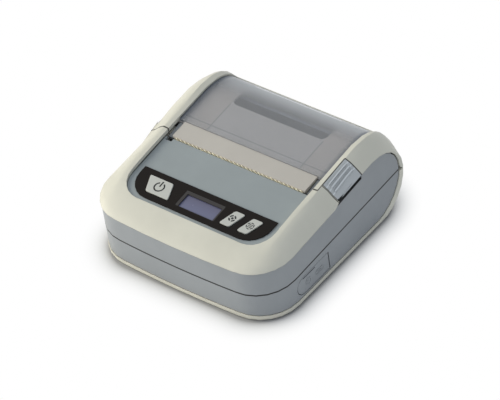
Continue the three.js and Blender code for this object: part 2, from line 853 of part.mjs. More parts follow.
// Tongue on the lower housing that closes the seam from inside; grown, it cuts its own room
function seamTongue(grow) {
  const behind = panel.wall - panel.lipWidth - grow;
  const body = panelSlab(-behind, -behind).intersect(
    slabZ(planOutline(panel.inset + behind, form.depth), 0, form.depth));
  const above = wedgeX((y) => seamZ(y) + panel.seamGap / 2 + panel.lipRise + grow, form.depth,
    [-overrun, form.depth], fullWidth);
  const below = wedgeX((y) => seamZ(y) - panel.seamGap - grow, 0, [-overrun, form.depth], fullWidth);
  return cut(body, above, below);
}

function buildLowerHousing() {
  const seam = wedgeX((y) => seamZ(y) - panel.seamGap / 2, form.depth, [-overrun, form.depth], fullWidth);
  const openBottom = slabZ(planOutline(panel.inset + panel.wall, roundStart + panel.wall * 2), 0,
    panel.rimTop + panel.wall * 2);
  const bayRoom = baySlab(bay.wall + gap, bayOuterHalf + gap, form.depth);
  const ring = cut(greyOuter.subtract(seam).add(seamTongue(0)), wallHollow, openBottom, bayRoom);
  const backing = box([portFloor - panel.wall, half - panel.inset - panel.wall / 2],
    [portFront - panel.wall, portRear + panel.wall], [panel.rimTop, port.top + panel.wall]);
  return cut(ring.add(backing),
    slabX(coverOutline(gap, portRear), portFloor, half + overrun),
    box([0, half], [usbY - port.usbHalfWidth - gap, usbY + port.usbHalfWidth + gap],
      [port.socketHeight - port.usbHalfHeight - gap, port.socketHeight + port.usbHalfHeight + gap]),
    rodX(jackY, port.socketHeight, port.jackRadius + gap, 0, half));
}
addNode('lower_housing', buildLowerHousing(), grey);

// The port cover swings on its rounded rear edge
const portAxisY = portRear - port.cover / 2;
const portAxisX = portSide - port.cover / 2;
function buildPortCover() {
  const plate = slabX(coverOutline(0, portAxisY), portFloor + gap, portSide);
  const edge = rodZ(portAxisX, portAxisY, port.cover / 2, port.bottom, port.top, sidesOf.small);
  const slotFront = portFront + (port.top - port.bottom) / 2;
  const nailSlot = box([portAxisX, half], [slotFront, slotFront + port.nailSlot],
    [port.top - port.cover, port.top - port.cover / 2]);
  return cut(plate.add(edge), nailSlot);
}
addNode('port_cover', buildPortCover(), grey);

// Upper housing: side and front walls above the seam, with room for the bay, the gears and the latch

const guidePitch = (guide.module * guide.pinionTeeth) / 2;
const armInner = guidePitch * guide.armShare;
const channel = {
  y: [rackFront - gap, rackFront + guide.rackDepth + gap],
  reach: guidePitch + guide.module * dedendumShare + guide.rackBack + gap,
};

function fingerLine(y) {
  return armEdge + armEdgeSlope * y - gap - latch.fingerGap;
}

const bayInside = baySlab(0, bayHalf, form.depth);
const frameRoom = box([-openHalf - panel.wall, openHalf + panel.wall],
  [splitY - overrun, frameRear + gap], [lipTop, form.depth]);
const gearRadius = gearModule * (train.platenTeeth / 2 + 1);
const gearSlot = box([-openHalf - train.width - gap * 2, -bayOuterHalf],
  [splitY - overrun, platenY + gearRadius * 2], [0, form.depth]);
const stemWell = box([stemInner - gap, stemOuter + gap],
  [latchFront + panel.wall - gap, latchRear - panel.wall + gap], [springBottom, form.depth]);

function buildUpperHousing() {
  const seam = wedgeX((y) => seamZ(y) + panel.seamGap / 2, 0, [-overrun, form.depth], fullWidth);
  let solid = cut(greyOuter, seam, wallHollow, seamTongue(gap));
  const floorOpening = slabZ(openingOutline(-panel.wall * 2, splitY + panel.wall), 0, form.depth);
  const bayRoom = baySlab(bay.wall + gap, bayOuterHalf + gap, form.depth);
  solid = cut(solid, floorOpening, bayRoom);
  screwSpots.forEach(([x, y]) => {
    solid = solid.add(rodZ(x, y, base.postRadius, panel.rimTop, edgeZ(y) - panel.wall));
  });
  const fingerCut = wedgeX(fingerLine, form.depth, [splitY + gap, latchRear + gap],
    [latchInner - gap, half + overrun]);
  const hookRoom = box([hookInner - gap, stemOuter],
    [splitY - panel.wall * 2, latchFront + panel.wall], [springBottom, form.depth]);
  solid = cut(solid, frameRoom, gearSlot, fingerCut, stemWell, hookRoom);
  screwSpots.forEach(([x, y]) => {
    solid = solid.subtract(rodZ(x, y, base.screwRadius + runGap, 0,
      form.underside + base.screwLength + gap, sidesOf.small));
  });
  return solid;
}

// Paper bay: the bowl for the roll, the channel of the guides' racks and the latch spring's shelf

function buildPaperBay() {
  const bayTop = edgeZ(bayY) - panel.wall;
  const belowTop = box(fullWidth, [0, form.depth], [0, bayTop]);
  const bowl = baySlab(bay.wall, bayOuterHalf, bayTop).intersect(belowTop);
  const channelRear = bayY - bayRadius / 2;
  const rackBox = box([-bayHalf, bayHalf], [channel.y[0] - guide.channelWall, channelRear],
    [pinionZ - channel.reach - guide.channelWall, pinionZ + channel.reach + guide.channelWall]);
  const shelf = box([bayHalf, stemOuter + gap], [latchFront + panel.wall * 2, latchRear - panel.wall],
    [springBottom - panel.wall, springBottom]);
  const armSlots = [-1, 1].map((side) => {
    const slotZ = [side * channel.reach, side * armInner].sort((a, b) => a - b);
    return box([-bayHalf + gap, bayHalf - gap], [channel.y[0], bayY], slotZ.map((z) => pinionZ + z));
  });
  const rackRun = box([-bayHalf - overrun, bayHalf + overrun], channel.y,
    [pinionZ - channel.reach, pinionZ + channel.reach]);
  const pinionPost = rodY(0, pinionZ, guide.pinionBore, channel.y[0], channelRear, sidesOf.small);
  const lipCut = box([-bayHalf, bayHalf], [splitY, bayY], [lipTop, form.depth]);
  const sideCut = box([-bayOuterHalf - gap, bayOuterHalf + gap], [splitY, sideStep], [sideTop, form.depth]);
  const solid = cut(join(bowl, rackBox, shelf), ...armSlots, rackRun, bayInside, lipCut, sideCut, frameRoom);
  return solid.add(pinionPost.subtract(bayInside));
}
addNode('upper_housing', buildUpperHousing(), grey);
addNode('paper_bay', buildPaperBay(), grey);

// Front bezel

const belowSplit = box(fullWidth, [-overrun, splitY - gap / 2], [0, aboveAll]);
const besideLatch = box([latchInner - gap, half + overrun], [-overrun, latchFront - gap], [0, aboveAll]);
addNode('front_bezel', cut(creamShell.intersect(belowSplit.add(besideLatch)),
  panelSlab(gap, gap),
  slabZ(openingOutline(0, splitY + form.depth), roundHeight, aboveAll).intersect(
    box([-openHalf, openHalf], [0, form.depth], [0, aboveAll])),
  box(fullWidth, [-overrun, form.depth], [0, bezelEdge - panel.wall])), cream);

// Cover frame with its arms, rear wall and hinge barrel

function profileStrip(outerInset, innerInset, front, endAngle) {
  const line = (inset) => {
    const points = [];
    for (let i = 0; i < stripSteps; i += 1) {
      const y = front + ((roundStart - front) * i) / stripSteps;
      points.push([y, crownZ(y) - inset]);
    }
    for (let i = 0; i <= stripTurns; i += 1) {
      points.push(rearPoint(0, inset, quarter - ((quarter - endAngle) * i) / stripTurns));
    }
    return points;
  };
  return [...line(innerInset), ...line(outerInset).reverse()];
}

function buildCoverFrame() {
  const beyondSplit = box(fullWidth, [splitY + gap / 2, form.depth + overrun],
    [hingeZ, aboveAll]);
  const windowHole = slabX(profileStrip(-overrun, shellWall * 3, splitY - overrun, windowEndAngle),
    -openHalf, openHalf);
  const latchRoom = box([latchInner - gap, half + overrun], [splitY, latchRear + gap], [0, aboveAll]);
  let solid = cut(creamShell.intersect(beyondSplit), panelSlab(panel.coverGap, gap), windowHole, latchRoom);
  const barrel = rodX(hingeY, hingeZ, cover.hingeRadius, -half, half).intersect(outerForm);
  solid = solid.add(barrel);
  knuckleSpans.forEach(([from, to]) => {
    solid = cut(solid,
      rodX(hingeY, hingeZ, cover.hingeRadius + gap, from - gap, to + gap),
      rodX(hingeY, hingeZ, cover.pinRadius + runGap,
        from - cover.pinOverlap - gap, to + cover.pinOverlap + gap));
  });
  return solid;
}
addNode('cover_frame', buildCoverFrame(), cream);
knuckleSpans.forEach(([from, to], i) => {
  const name = i === 0 ? 'hinge_pin_left' : 'hinge_pin_right';
  addNode(name, rodX(hingeY, hingeZ, cover.pinRadius,
    from - cover.pinOverlap, to + cover.pinOverlap), steel);
});

// Smoked window and the frame under it

const windowBottom = glazing.below + glazing.thickness;
const windowStrip = profileStrip(glazing.below, windowBottom, glassFront, windowEndAngle + windowOverlap);
addNode('cover_window', slabX(windowStrip,
  -openHalf + gap, openHalf - gap), smoke);

function buildInnerFrame() {
  const top = windowBottom + gap;
  const outer = top + glazing.frameThickness;
  const plate = slabX(profileStrip(top, outer, glassFront, windowEndAngle), -frameHalf, frameHalf);
  const halfRib = glazing.ribWidth / 2;
  const ribStrip = profileStrip(outer - gap, outer + glazing.ribHeight, glassFront, quarter);
  const ribs = [-1, 1].map((side) => slabX(ribStrip, side * cutHalf - halfRib, side * cutHalf + halfRib));
  const crossRib = slabX(ribStrip, -cutHalf, cutHalf).intersect(
    box(fullWidth, [crossRibY - halfRib, crossRibY + halfRib], [0, aboveAll]));
  const opening = slabZ(roundedRect([-cutHalf, cutHalf],
    [form.depth - glazing.cutFrontRoom, form.depth - glazing.cutRearRoom], glazing.cutCorner), 0, aboveAll);
  return cut(join(plate, ...ribs, crossRib), opening, creamShell);
}
addNode('cover_inner_frame', buildInnerFrame(), darkPlastic);

// Front bar of the cover with the ears that hold the platen

const barTop = (y) => crownZ(y) - glazing.below - gap * 2;
function buildCoverBar() {
  const rear = glassFront - gap;
  const bar = slabX([
    [barFront, barTop(barFront) - glazing.barThickness],
    [rear, barTop(rear) - glazing.barThickness],
    [rear, barTop(rear)],
    [barFront, barTop(barFront)],
  ], -barHalf, barHalf);
  const radius = platen.bushRadius + platen.earWall;
  const ears = [-1, 1].map((side) => slabX([
    ...arc(platenY, platenZ, radius, Math.PI, turn, cornerSteps),
    [platenY + radius, barTop(platenY) - gap],
    [platenY - radius, barTop(platenY - radius) - gap],
  ], ...spanOf(side, earInner, earInner + platen.earWall)));
  const bore = rodX(platenY, platenZ, platen.shaftRadius + runGap, -half, half);
  return cut(join(bar, ...ears), bore);
}
addNode('cover_bar', buildCoverBar(), beige);

addNode('platen_roller', slabX(circle(platenY, platenZ, platen.rubberRadius, sidesOf.large),
  -rubberHalf, rubberHalf,
  [circle(platenY, platenZ, platen.shaftRadius + seatGap, sidesOf.medium).reverse()]), rubber);
addNode('platen_shaft', rodX(platenY, platenZ, platen.shaftRadius, -shaftHalf, shaftHalf), steel);
const bushFrom = earInner + platen.earWall + gap;
const bushTo = frameInner + frame.wall;
[-1, 1].forEach((side) => {
  addNode(side < 0 ? 'platen_bush_left' : 'platen_bush_right', slabX(
    circle(platenY, platenZ, platen.bushRadius, sidesOf.medium), ...spanOf(side, bushFrom, bushTo),
    [circle(platenY, platenZ, platen.shaftRadius + runGap, sidesOf.medium).reverse()]), nylon);
});

// Gears: straight-flanked teeth, with one tooth centred on a given angle

function gearOutline([y, z], teeth, module, toothAt) {
  const pitch = (module * teeth) / 2;
  const step = turn / teeth;
  const rings = [
    [pitch - dedendumShare * module, -toothShares.root],
    [pitch + addendumShare * module, -toothShares.tip],
    [pitch + addendumShare * module, toothShares.tip],
    [pitch - dedendumShare * module, toothShares.root],
  ];
  const points = [];
  for (let i = 0; i < teeth; i += 1) {
    rings.forEach(([radius, share]) => {
      const angle = toothAt + (i + share) * step;
      points.push([y + radius * Math.cos(angle), z + radius * Math.sin(angle)]);
    });
  }
  return points;
}

const gearSpan = spanOf(-1, openHalf, openHalf + train.width);
const pitchRadius = (teeth) => (gearModule * teeth) / 2;
const platenPlace = [platenY, platenZ];
const idlerReach = pitchRadius(train.platenTeeth + train.idlerTeeth);
const idlerPlace = [platenY + idlerReach * Math.cos(idlerDirection),
  platenZ + idlerReach * Math.sin(idlerDirection)];
const motorReach = pitchRadius(train.idlerTeeth + train.pinionTeeth);
const motorFall = (motorZ - idlerPlace[1]) / motorReach;
const pinionDirection = -Math.PI - Math.asin(THREE.MathUtils.clamp(motorFall, -1, 1));
const motorPlace = [idlerPlace[0] + motorReach * Math.cos(pinionDirection),
  idlerPlace[1] + motorReach * Math.sin(pinionDirection)];
const idlerTooth = idlerDirection + Math.PI;
const idlerStep = turn / train.idlerTeeth;
const idlerOffset = Math.round((pinionDirection - idlerTooth) / idlerStep) * idlerStep
  + idlerTooth - pinionDirection;
const pinionTooth = pinionDirection + Math.PI - (idlerOffset * train.idlerTeeth) / train.pinionTeeth
  + Math.PI / train.pinionTeeth;

function gear([y, z], teeth, toothAt, boreRadius) {
  return slabX(gearOutline([y, z], teeth, gearModule, toothAt), ...gearSpan,
    [circle(y, z, boreRadius, sidesOf.small).reverse()]);
}
addNode('platen_gear', gear(platenPlace, train.platenTeeth,
  idlerDirection + Math.PI / train.platenTeeth, platen.shaftRadius + seatGap), nylon);
const idlerWeb = slabX(circle(...idlerPlace, pitchRadius(train.idlerTeeth) * train.webShare, sidesOf.medium),
  gearSpan[0] - overrun, gearSpan[0] + train.width / 3,
  [circle(...idlerPlace, train.boreRadius * 2, sidesOf.small).reverse()]);
addNode('idler_gear', gear(idlerPlace, train.idlerTeeth, idlerTooth, train.boreRadius + runGap)
  .subtract(idlerWeb), nylon);
const motorShaftRadius = train.boreRadius * motor.shaftShare;
addNode('motor_pinion', gear(motorPlace, train.pinionTeeth, pinionTooth, motorShaftRadius + seatGap), steel);

// Stepper motor, with its shaft through the frame

const motorFace = -frameInner + gap;
addNode('feed_motor', join(
  rodX(...motorPlace, motorRadius, motorFace, motorFace + motor.length, sidesOf.large),
  rodX(...motorPlace, motorShaftRadius, gearSpan[0], motorFace + gap, sidesOf.small)), steel);

// Printing unit's frame: two cheeks and a cross wall, with open notches for the platen's bushes

function cheekOutline(withMotor) {
  const notch = platen.bushRadius + runGap;
  const top = [
    [frameRear, frameTop],
    [platenY + notch, frameTop],
    ...arc(...platenPlace, notch, 0, -Math.PI, cornerSteps),
    [platenY - notch, frameTop],
    [crossFront, frameTop - head.wall],
  ];
  const [motorY, motorMiddle] = motorPlace;
  const low = withMotor ? [
    [crossFront - motorRadius, crossBottom - head.wall],
    [motorY - motorRadius, motorMiddle + motorRadius],
    [motorY - motorRadius, motorMiddle - motorRadius + gap],
    [motorY + motorRadius, motorMiddle - motorRadius + gap],
    [idlerPlace[0] + train.boreRadius * 3, idlerPlace[1] - train.boreRadius * 3],
  ] : [[crossFront, crossBottom], [frameRear - head.wall * 4, crossBottom]];
  return [...top, ...low, [frameRear, crossBottom + head.wall * 2]].reverse();
}

function buildPrintFrame() {
  const left = slabX(cheekOutline(true), -frameInner - frame.wall, -frameInner)
    .subtract(rodX(...motorPlace, motorShaftRadius + gap, -half, 0, sidesOf.small));
  const right = slabX(cheekOutline(false), frameInner, frameInner + frame.wall);
  const cross = box([-frameInner - gap, frameInner + gap],
    [crossFront, crossFront + frame.crossWall], [crossBottom, frameTop - head.wall * 2]);
  const idlerPost = rodX(...idlerPlace, train.boreRadius, gearSpan[0] - gap, -frameInner, sidesOf.small);
  return join(left, right, cross, idlerPost);
}
addNode('print_frame', buildPrintFrame(), steel);

// Thermal head on its heat sink, pressed towards the platen by two springs

const sinkFace = headFace - head.wall;
addNode('print_head', box([-headHalf + head.wall, headHalf - head.wall], [sinkFace + seatGap, headFace],
  [headBottom + head.sinkDepth, headTop]), ceramic);
const sinkSlots = [-1, 1].map((side) => box(
  spanOf(side, head.springSpread / 2 - head.wall, head.springSpread / 2 + head.wall),
  [sinkFace - head.sinkDepth - overrun, sinkFace - head.sinkDepth / 2],
  [headBottom + head.sinkDepth, headTop - head.wall * 4]));
addNode('head_heat_sink', cut(box([-headHalf, headHalf], [sinkFace - head.sinkDepth, sinkFace],
  [headBottom, headTop]), ...sinkSlots), aluminium);

// Coil along Y or Z: one tube, its ends closed
function coil(start, direction, length, coilRadius, wireRadius, turns) {
  const steps = turns * coilSteps;
  const axis = new THREE.Vector3(...direction);
  const sideways = new THREE.Vector3(1, 0, 0);
  const third = new THREE.Vector3().crossVectors(axis, sideways);
  const rise = length - wireRadius * 2;
  const centre = (t) => new THREE.Vector3(...start)
    .addScaledVector(axis, wireRadius + rise * t)
    .addScaledVector(sideways, coilRadius * Math.cos(turns * turn * t))
    .addScaledVector(third, coilRadius * Math.sin(turns * turn * t));
  const vertices = [];
  const triangles = [];
  for (let i = 0; i <= steps; i += 1) {
    const t = i / steps;
    const angle = turns * turn * t;
    const outward = new THREE.Vector3().addScaledVector(sideways, Math.cos(angle))
      .addScaledVector(third, Math.sin(angle));
    for (let k = 0; k < wireSides; k += 1) {
      const around = (k / wireSides) * turn;
      const point = centre(t).addScaledVector(outward, wireRadius * Math.cos(around))
        .addScaledVector(axis, wireRadius * Math.sin(around));
      vertices.push(point.x, point.y, point.z);
    }
  }
  for (let i = 0; i < steps; i += 1) {
    for (let k = 0; k < wireSides; k += 1) {
      const next = (k + 1) % wireSides;
      const [a, b] = [i * wireSides + k, i * wireSides + next];
      triangles.push(a, b, a + wireSides, b, b + wireSides, a + wireSides);
    }
  }
  for (let k = 1; k + 1 < wireSides; k += 1) {
    triangles.push(0, k + 1, k);
    const last = steps * wireSides;
    triangles.push(last, last + k, last + k + 1);
  }
  const geometry = new THREE.BufferGeometry();
  geometry.setAttribute('position', new THREE.Float32BufferAttribute(vertices, 3));
  geometry.setIndex(triangles);
  const solid = solidOf(geometry);
  if (solid.volume() > 0) return solid;
  for (let i = 0; i < triangles.length; i += 3) {
    triangles.splice(i + 1, 2, triangles[i + 2], triangles[i + 1]);
  }
  geometry.setIndex(triangles);
  return solidOf(geometry);
}
const crossRear = crossFront + frame.crossWall;
[-1, 1].forEach((side) => {
  const length = sinkFace - head.sinkDepth - crossRear - gap * 2;
  addNode(side < 0 ? 'head_spring_left' : 'head_spring_right', coil(
    [side * head.springSpread, crossRear + gap, (headTop + headBottom) / 2], [0, 1, 0],
    length, head.springRadius, springWire, head.springTurns), steel);
});

// Tear bar with its row of teeth
function buildTearBar() {
  const points = [[-tearHalf, tearBottom], [tearHalf, tearBottom]];
  const teeth = Math.floor((tearHalf * 2) / tear.pitch);
  const step = (tearHalf * 2) / teeth;
  points.push([tearHalf, tearValley]);
  for (let i = 0; i < teeth; i += 1) {
    const x = tearHalf - i * step;
    points.push([x - step / 2, tearValley + tear.tooth], [x - step, tearValley]);
  }
  return slabY(points, headFace - tear.thickness, headFace);
}
addNode('tear_bar', buildTearBar(), steel);

// Control panel pieces in the sloping frame
const slopeAngle = Math.atan(deckSlope);
const alongSlope = (y) => y / Math.cos(slopeAngle);
const deckUnder = -deck.thickness;
const filmTop = deck.film + seatGap;

function keyOutline(key, margin) {
  const front = keyFront - margin;
  const rear = keyRear + margin;
  return roundCorners([
    [key.frontLeft - margin, front],
    [key.frontRight + margin, front],
    [key.rearRight + margin, rear],
    [key.rearLeft - margin, rear],
  ], deck.keyCorner + margin);
}

// Replaces each corner of a convex outline with a short curve
function roundCorners(corners, reach) {
  const points = [];
  corners.forEach((corner, i) => {
    const here = new THREE.Vector2(...corner);
    const before = new THREE.Vector2(...corners[(i + corners.length - 1) % corners.length]);
    const after = new THREE.Vector2(...corners[(i + 1) % corners.length]);
    const start = here.clone().addScaledVector(before.sub(here).normalize(), reach);
    const end = here.clone().addScaledVector(after.sub(here).normalize(), reach);
    const curve = new THREE.QuadraticBezierCurve(start, here, end);
    curve.getPoints(cornerCutSteps).forEach((point) => points.push([point.x, point.y]));
  });
  return points;
}

const displayHole = (margin) => roundedRect(
  [filmHalf * displayShares.left - margin, filmHalf * displayShares.right + margin],
  [filmFront + deck.displayRoom - margin, filmRear - deck.displayRoom + margin],
  deck.displayCorner + margin);
const bossInset = deck.bossRadius * 2;
const bossX = boardHalf - deck.bossRadius;
const bossSpots = [-bossX, bossX].flatMap((x) => [
  [x, boardFront + bossInset],
  [x, boardRear - bossInset],
]);

function buildFrontPanel() {
  const rear = alongSlope(panelRear);
  const outline = openingOutline(gap, rear);
  const plate = slabZ(outline, deckUnder, 0, [
    ...Object.values(keys).map((key) => keyOutline(key, gap).reverse()),
    displayHole(gap).reverse(),
  ]);
  const notch = box([-tearHalf - deck.notch, -tearHalf], [rear - panel.wall, rear + overrun],
    [deckUnder - overrun, overrun]);
  return plate.subtract(notch);
}

// Bosses stand upright from the board to the panel, so they are made unturned and then leaned back
function buildBosses() {
  return bossSpots.map(([x, y]) => {
    const top = deckZ + deckSlope * y - deck.thickness / 2;
    return rodZ(x, y, deck.bossRadius, boardTop + gap, top, sidesOf.small);
  });
}
const lean = (solid, sign) => {
  const geometry = geometryOf(solid);
  if (sign < 0) geometry.translate(0, 0, -deckZ);
  geometry.rotateX(sign * slopeAngle);
  if (sign > 0) geometry.translate(0, 0, deckZ);
  geometry.deleteAttribute('normal');
  return solidOf(geometry);
};
addNode('front_panel', join(lean(buildFrontPanel(), 1), ...buildBosses()), lightGrey);

function filmOutline() {
  return [
    [-filmHalf, filmRear],
    ...arc(-filmHalf + filmRadius, filmFront + filmRadius, filmRadius,
      Math.PI, turn - quarter, cornerSteps),
    ...arc(filmHalf - filmRadius, filmFront + filmRadius, filmRadius,
      -quarter, 0, cornerSteps),
    [filmHalf, filmRear],
  ];
}
addNode('panel_overlay', slabZ(filmOutline(), seatGap, filmTop, [
  ...Object.values(keys).map((key) => keyOutline(key, gap).reverse()),
  displayHole(0).reverse(),
]), black, sloping);

// Each key: cap through the film, flange under the panel, stem down to its switch
const keyCentre = (key) => [
  (key.rearLeft + key.rearRight + key.frontLeft + key.frontRight) / 4, (keyFront + keyRear) / 2];
const switchTop = -deck.thickness - gap - deck.keyFlange - deck.keyStem * 2;
Object.entries(keys).forEach(([name, key]) => {
  const cap = slabZ(keyOutline(key, 0), deckUnder - gap - deck.keyFlange, filmTop + deck.keyRise);
  const flange = slabZ(keyOutline(key, gap * 3), deckUnder - gap - deck.keyFlange, deckUnder - gap);
  const [x, y] = keyCentre(key);
  const stem = rodZ(x, y, deck.keyStem, switchTop, deckUnder - gap - deck.keyFlange / 2, sidesOf.small);
  addNode(name, join(cap, flange, stem), keyWhite, sloping);
});

// Display: glass in a frame that hangs under the panel's opening
const glassTop = filmTop - deck.displayRecess;
addNode('display_glass', slabZ(displayHole(-gap), deckUnder + gap, glassTop), displayBlue, sloping);
addNode('display_holder', slabZ(displayHole(deck.displayBorder),
  deckUnder - gap - deck.thickness, deckUnder - gap), darkPlastic, sloping);

// Main board with its switches
function buildBoard() {
  const plate = slabZ(roundedRect([-boardHalf, boardHalf], [boardFront, boardRear], panel.wall),
    boardBottom, boardTop);
  const chipRoom = (boardRear - boardFront) * board.chipShare;
  const chips = box([-board.chipHalf, board.chipHalf],
    [boardFront + chipRoom, boardRear - chipRoom],
    [boardBottom - panel.wall / 2, boardTop - gap]);
  return plate.add(chips);
}
addNode('main_board', buildBoard(), green);
Object.entries(keys).forEach(([name, key]) => {
  const [x, y] = keyCentre(key);
  const worldY = y * Math.cos(slopeAngle) - switchTop * Math.sin(slopeAngle);
  const worldZ = deckZ + y * Math.sin(slopeAngle) + switchTop * Math.cos(slopeAngle);
  const reach = deck.keyStem * 2;
  addNode(name.replace('button', 'switch'), box([x - reach, x + reach], [worldY - reach, worldY + reach],
    [boardTop + seatGap, worldZ - deck.keyTravel - gap]), darkPlastic);
});

// Battery pack: two cells in a wrapped block
function buildBattery() {
  const corner = (batteryTop - batteryBottom) * battery.cornerShare;
  return slabX(roundedRect([battery.front, batteryRear], [batteryBottom, batteryTop], corner),
    batteryLeft, batteryRight);
}
addNode('battery_pack', buildBattery(), darkPlastic);

// Sockets behind the port cover, on a small board of their own
const socketFace = portFloor - panel.wall + gap;
const socketEnd = socketFace + port.cover / 2;
const socketFloor = portFloor - port.depth;
const usbAcross = (margin) => [usbY - port.usbHalfWidth + margin, usbY + port.usbHalfWidth - margin];
const usbUp = (margin) => [
  port.socketHeight - port.usbHalfHeight + margin,
  port.socketHeight + port.usbHalfHeight - margin,
];
addNode('usb_socket', cut(box([socketFloor, socketEnd], usbAcross(0), usbUp(0)),
  box([socketFloor + port.cover, half], usbAcross(gap), usbUp(gap))), steel);
addNode('power_jack', cut(rodX(jackY, port.socketHeight, port.jackRadius, socketFloor, socketEnd),
  rodX(jackY, port.socketHeight, port.jackRadius - gap * 2, socketFloor + port.cover, half)), darkPlastic);
const portBoardFace = socketFloor - seatGap;
addNode('port_board', box([portBoardFace - board.thickness, portBoardFace],
  [portFront + panel.wall, portRear - panel.wall], [panel.rimTop, port.top]), green);

// Latch button on the right shoulder, its spring and hook

function buildLatch() {
  const shoulderBox = box([latchInner, half + overrun], [latchFront, latchRear], [0, aboveAll]);
  const belowArm = wedgeX((y) => armEdge + armEdgeSlope * y, 0, [0, form.depth], fullWidth);
  const shoulder = creamShell.intersect(shoulderBox).subtract(belowArm);
  const stem = box([stemInner, stemOuter], [latchFront + panel.wall, latchRear - panel.wall],
    [stemBottom, aboveAll]).intersect(innerForm.add(creamShell));
  const hookArm = box([stemInner - latch.hookWall, stemInner + latch.hookWall],
    [splitY - latch.hookWall, latchFront + panel.wall * 3],
    [stemBottom - latch.hookWall / 2, stemBottom + latch.hookWall / 2]);
  const hookFront = platenY - platen.shaftRadius - gap - latch.hookWall;
  const shaftTop = platenZ + platen.shaftRadius;
  const hook = slabX([
    [hookFront, stemBottom],
    [hookFront + latch.hookWall, stemBottom],
    [hookFront + latch.hookWall, shaftTop],
    [platenY - latch.hookWall, shaftTop + gap * 2],
    [hookFront + gap, shaftTop + platen.shaftRadius],
  ], hookInner, stemInner);
  const ribStep = (half - latchInner) / (latch.ribs + 2);
  const raised = formSolid(-latch.ribHeight).intersect(
    box(fullWidth, [latchFront + panel.wall, latchRear - panel.wall], [0, aboveAll]));
  const ribs = [];
  for (let i = 1; i <= latch.ribs; i += 1) {
    const x = latchInner + i * ribStep;
    ribs.push(raised.intersect(box([x - latch.ribWidth / 2, x + latch.ribWidth / 2], [0, form.depth],
      [stemBottom + panel.wall * 2, aboveAll])).subtract(innerForm));
  }
  const springSeat = rodZ((stemInner + stemOuter) / 2, (latchFront + latchRear) / 2,
    latch.springRadius - springWire * 2, stemBottom - panel.wall, stemBottom + gap, sidesOf.small);
  return join(shoulder, stem, hookArm, hook, springSeat, ...ribs);
}
addNode('latch_button', buildLatch(), grey);
addNode('latch_spring', coil([(stemInner + stemOuter) / 2, (latchFront + latchRear) / 2,
  springBottom + gap], [0, 0, 1], stemBottom - springBottom - gap * 2,
latch.springRadius, springWire, latch.springTurns), steel);

// Paper guides: a disc on a leg that stands on its rack's arm; one pinion moves both racks

function rackOutline(from, to, side) {
  const toothStep = Math.PI * guide.module;
  const pitchZ = pinionZ + side * guidePitch;
  const back = pitchZ + side * (dedendumShare * guide.module + guide.rackBack);
  const rootZ = pitchZ + side * dedendumShare * guide.module;
  const tipZ = pitchZ - side * addendumShare * guide.module;
  const points = [[to, back], [from, back], [from, rootZ]];
  const firstTooth = Math.ceil(from / toothStep - 1 / 2 + toothShares.root);
  const lastTooth = Math.floor(to / toothStep - 1 / 2 - toothShares.root);
  for (let i = firstTooth; i <= lastTooth; i += 1) {
    const centre = (i + 1 / 2) * toothStep;
    const rootReach = toothShares.root * toothStep;
    const tipReach = toothShares.tip * toothStep;
    points.push([centre - rootReach, rootZ], [centre - tipReach, tipZ]);
    points.push([centre + tipReach, tipZ], [centre + rootReach, rootZ]);
  }
  points.push([to, rootZ]);
  return side > 0 ? points.reverse() : points;
}

const guideFaces = (side) => spanOf(side, guideRest, guideRest + guide.wall);

function armHeights(side) {
  const near = armInner + gap;
  const far = channel.reach - gap;
  return side < 0 ? [pinionZ + near, pinionZ + far] : [pinionZ - far, pinionZ - near];
}

function buildGuideRack(side) {
  const faces = guideFaces(side);
  const span = [...faces, -side * guide.rackOverlap];
  const outline = rackOutline(Math.min(...span), Math.max(...span), -side);
  const rack = slabY(outline, rackFront, rackFront + guide.rackDepth);
  return rack.add(box(faces, [rackFront, bayY], armHeights(side)));
}

function buildGuide(side) {
  const faces = guideFaces(side);
  const armTop = armHeights(side)[1] + seatGap;
  const disc = slabX(circle(bayY, bayZ, discRadius, sidesOf.medium), ...faces);
  const leg = box(faces, [bayY - discRadius, bayY], [armTop, bayZ]);
  const hubSpan = spanOf(side, guideRest - guide.hubLength, guideRest + gap);
  const hub = rodX(bayY, bayZ, guide.hubRadius, ...hubSpan);
  const clear = slabX(circle(bayY, bayZ, bayRadius - gap, sidesOf.bay), ...fullWidth);
  const armRoom = box(fullWidth, [0, bayY + seatGap], [0, armTop]);
  return join(disc, leg, hub).intersect(clear).subtract(armRoom);
}
addNode('paper_guide_left', buildGuide(-1), darkPlastic);
addNode('paper_guide_right', buildGuide(1), darkPlastic);
addNode('guide_rack_left', buildGuideRack(-1), darkPlastic);
addNode('guide_rack_right', buildGuideRack(1), darkPlastic);

function buildGuidePinion() {
  const outline = gearOutline([0, pinionZ], guide.pinionTeeth, guide.module, quarter);
  return slabY(outline, rackFront, rackFront + guide.rackDepth,
    [circle(0, pinionZ, guide.pinionBore + runGap, sidesOf.small).reverse()]);
}
addNode('guide_pinion', buildGuidePinion(), nylon);

// Assembly: pieces in the sloping frame sit in one tilted group
const printer = new THREE.Group();
const measuredFromFront = new THREE.Group();
measuredFromFront.position.y = -form.depth / 2;
const slopingPanel = new THREE.Group();
slopingPanel.position.z = deckZ;
slopingPanel.rotation.x = slopeAngle;
measuredFromFront.add(slopingPanel);
nodes.forEach(({ mesh, placing }) => (placing === sloping ? slopingPanel : measuredFromFront).add(mesh));
printer.add(measuredFromFront);

export default printer;
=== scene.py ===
# %% [markdown]
# # Dressing a portable label printer
#
# The printer's shells, gears and boards come ready made from the workshop as a fixed frame. This
# lesson gives them their looks: moulded and smoked plastic, printed film, rubber and steel. It also
# adds small things, such as the signs on the keys, the springs and the screws. Blender counts in
# metres, and one constant turns the maker's millimetres into them.

# %% Load the frame
import json
import math

import bmesh
import bpy
from mathutils import Matrix, Vector


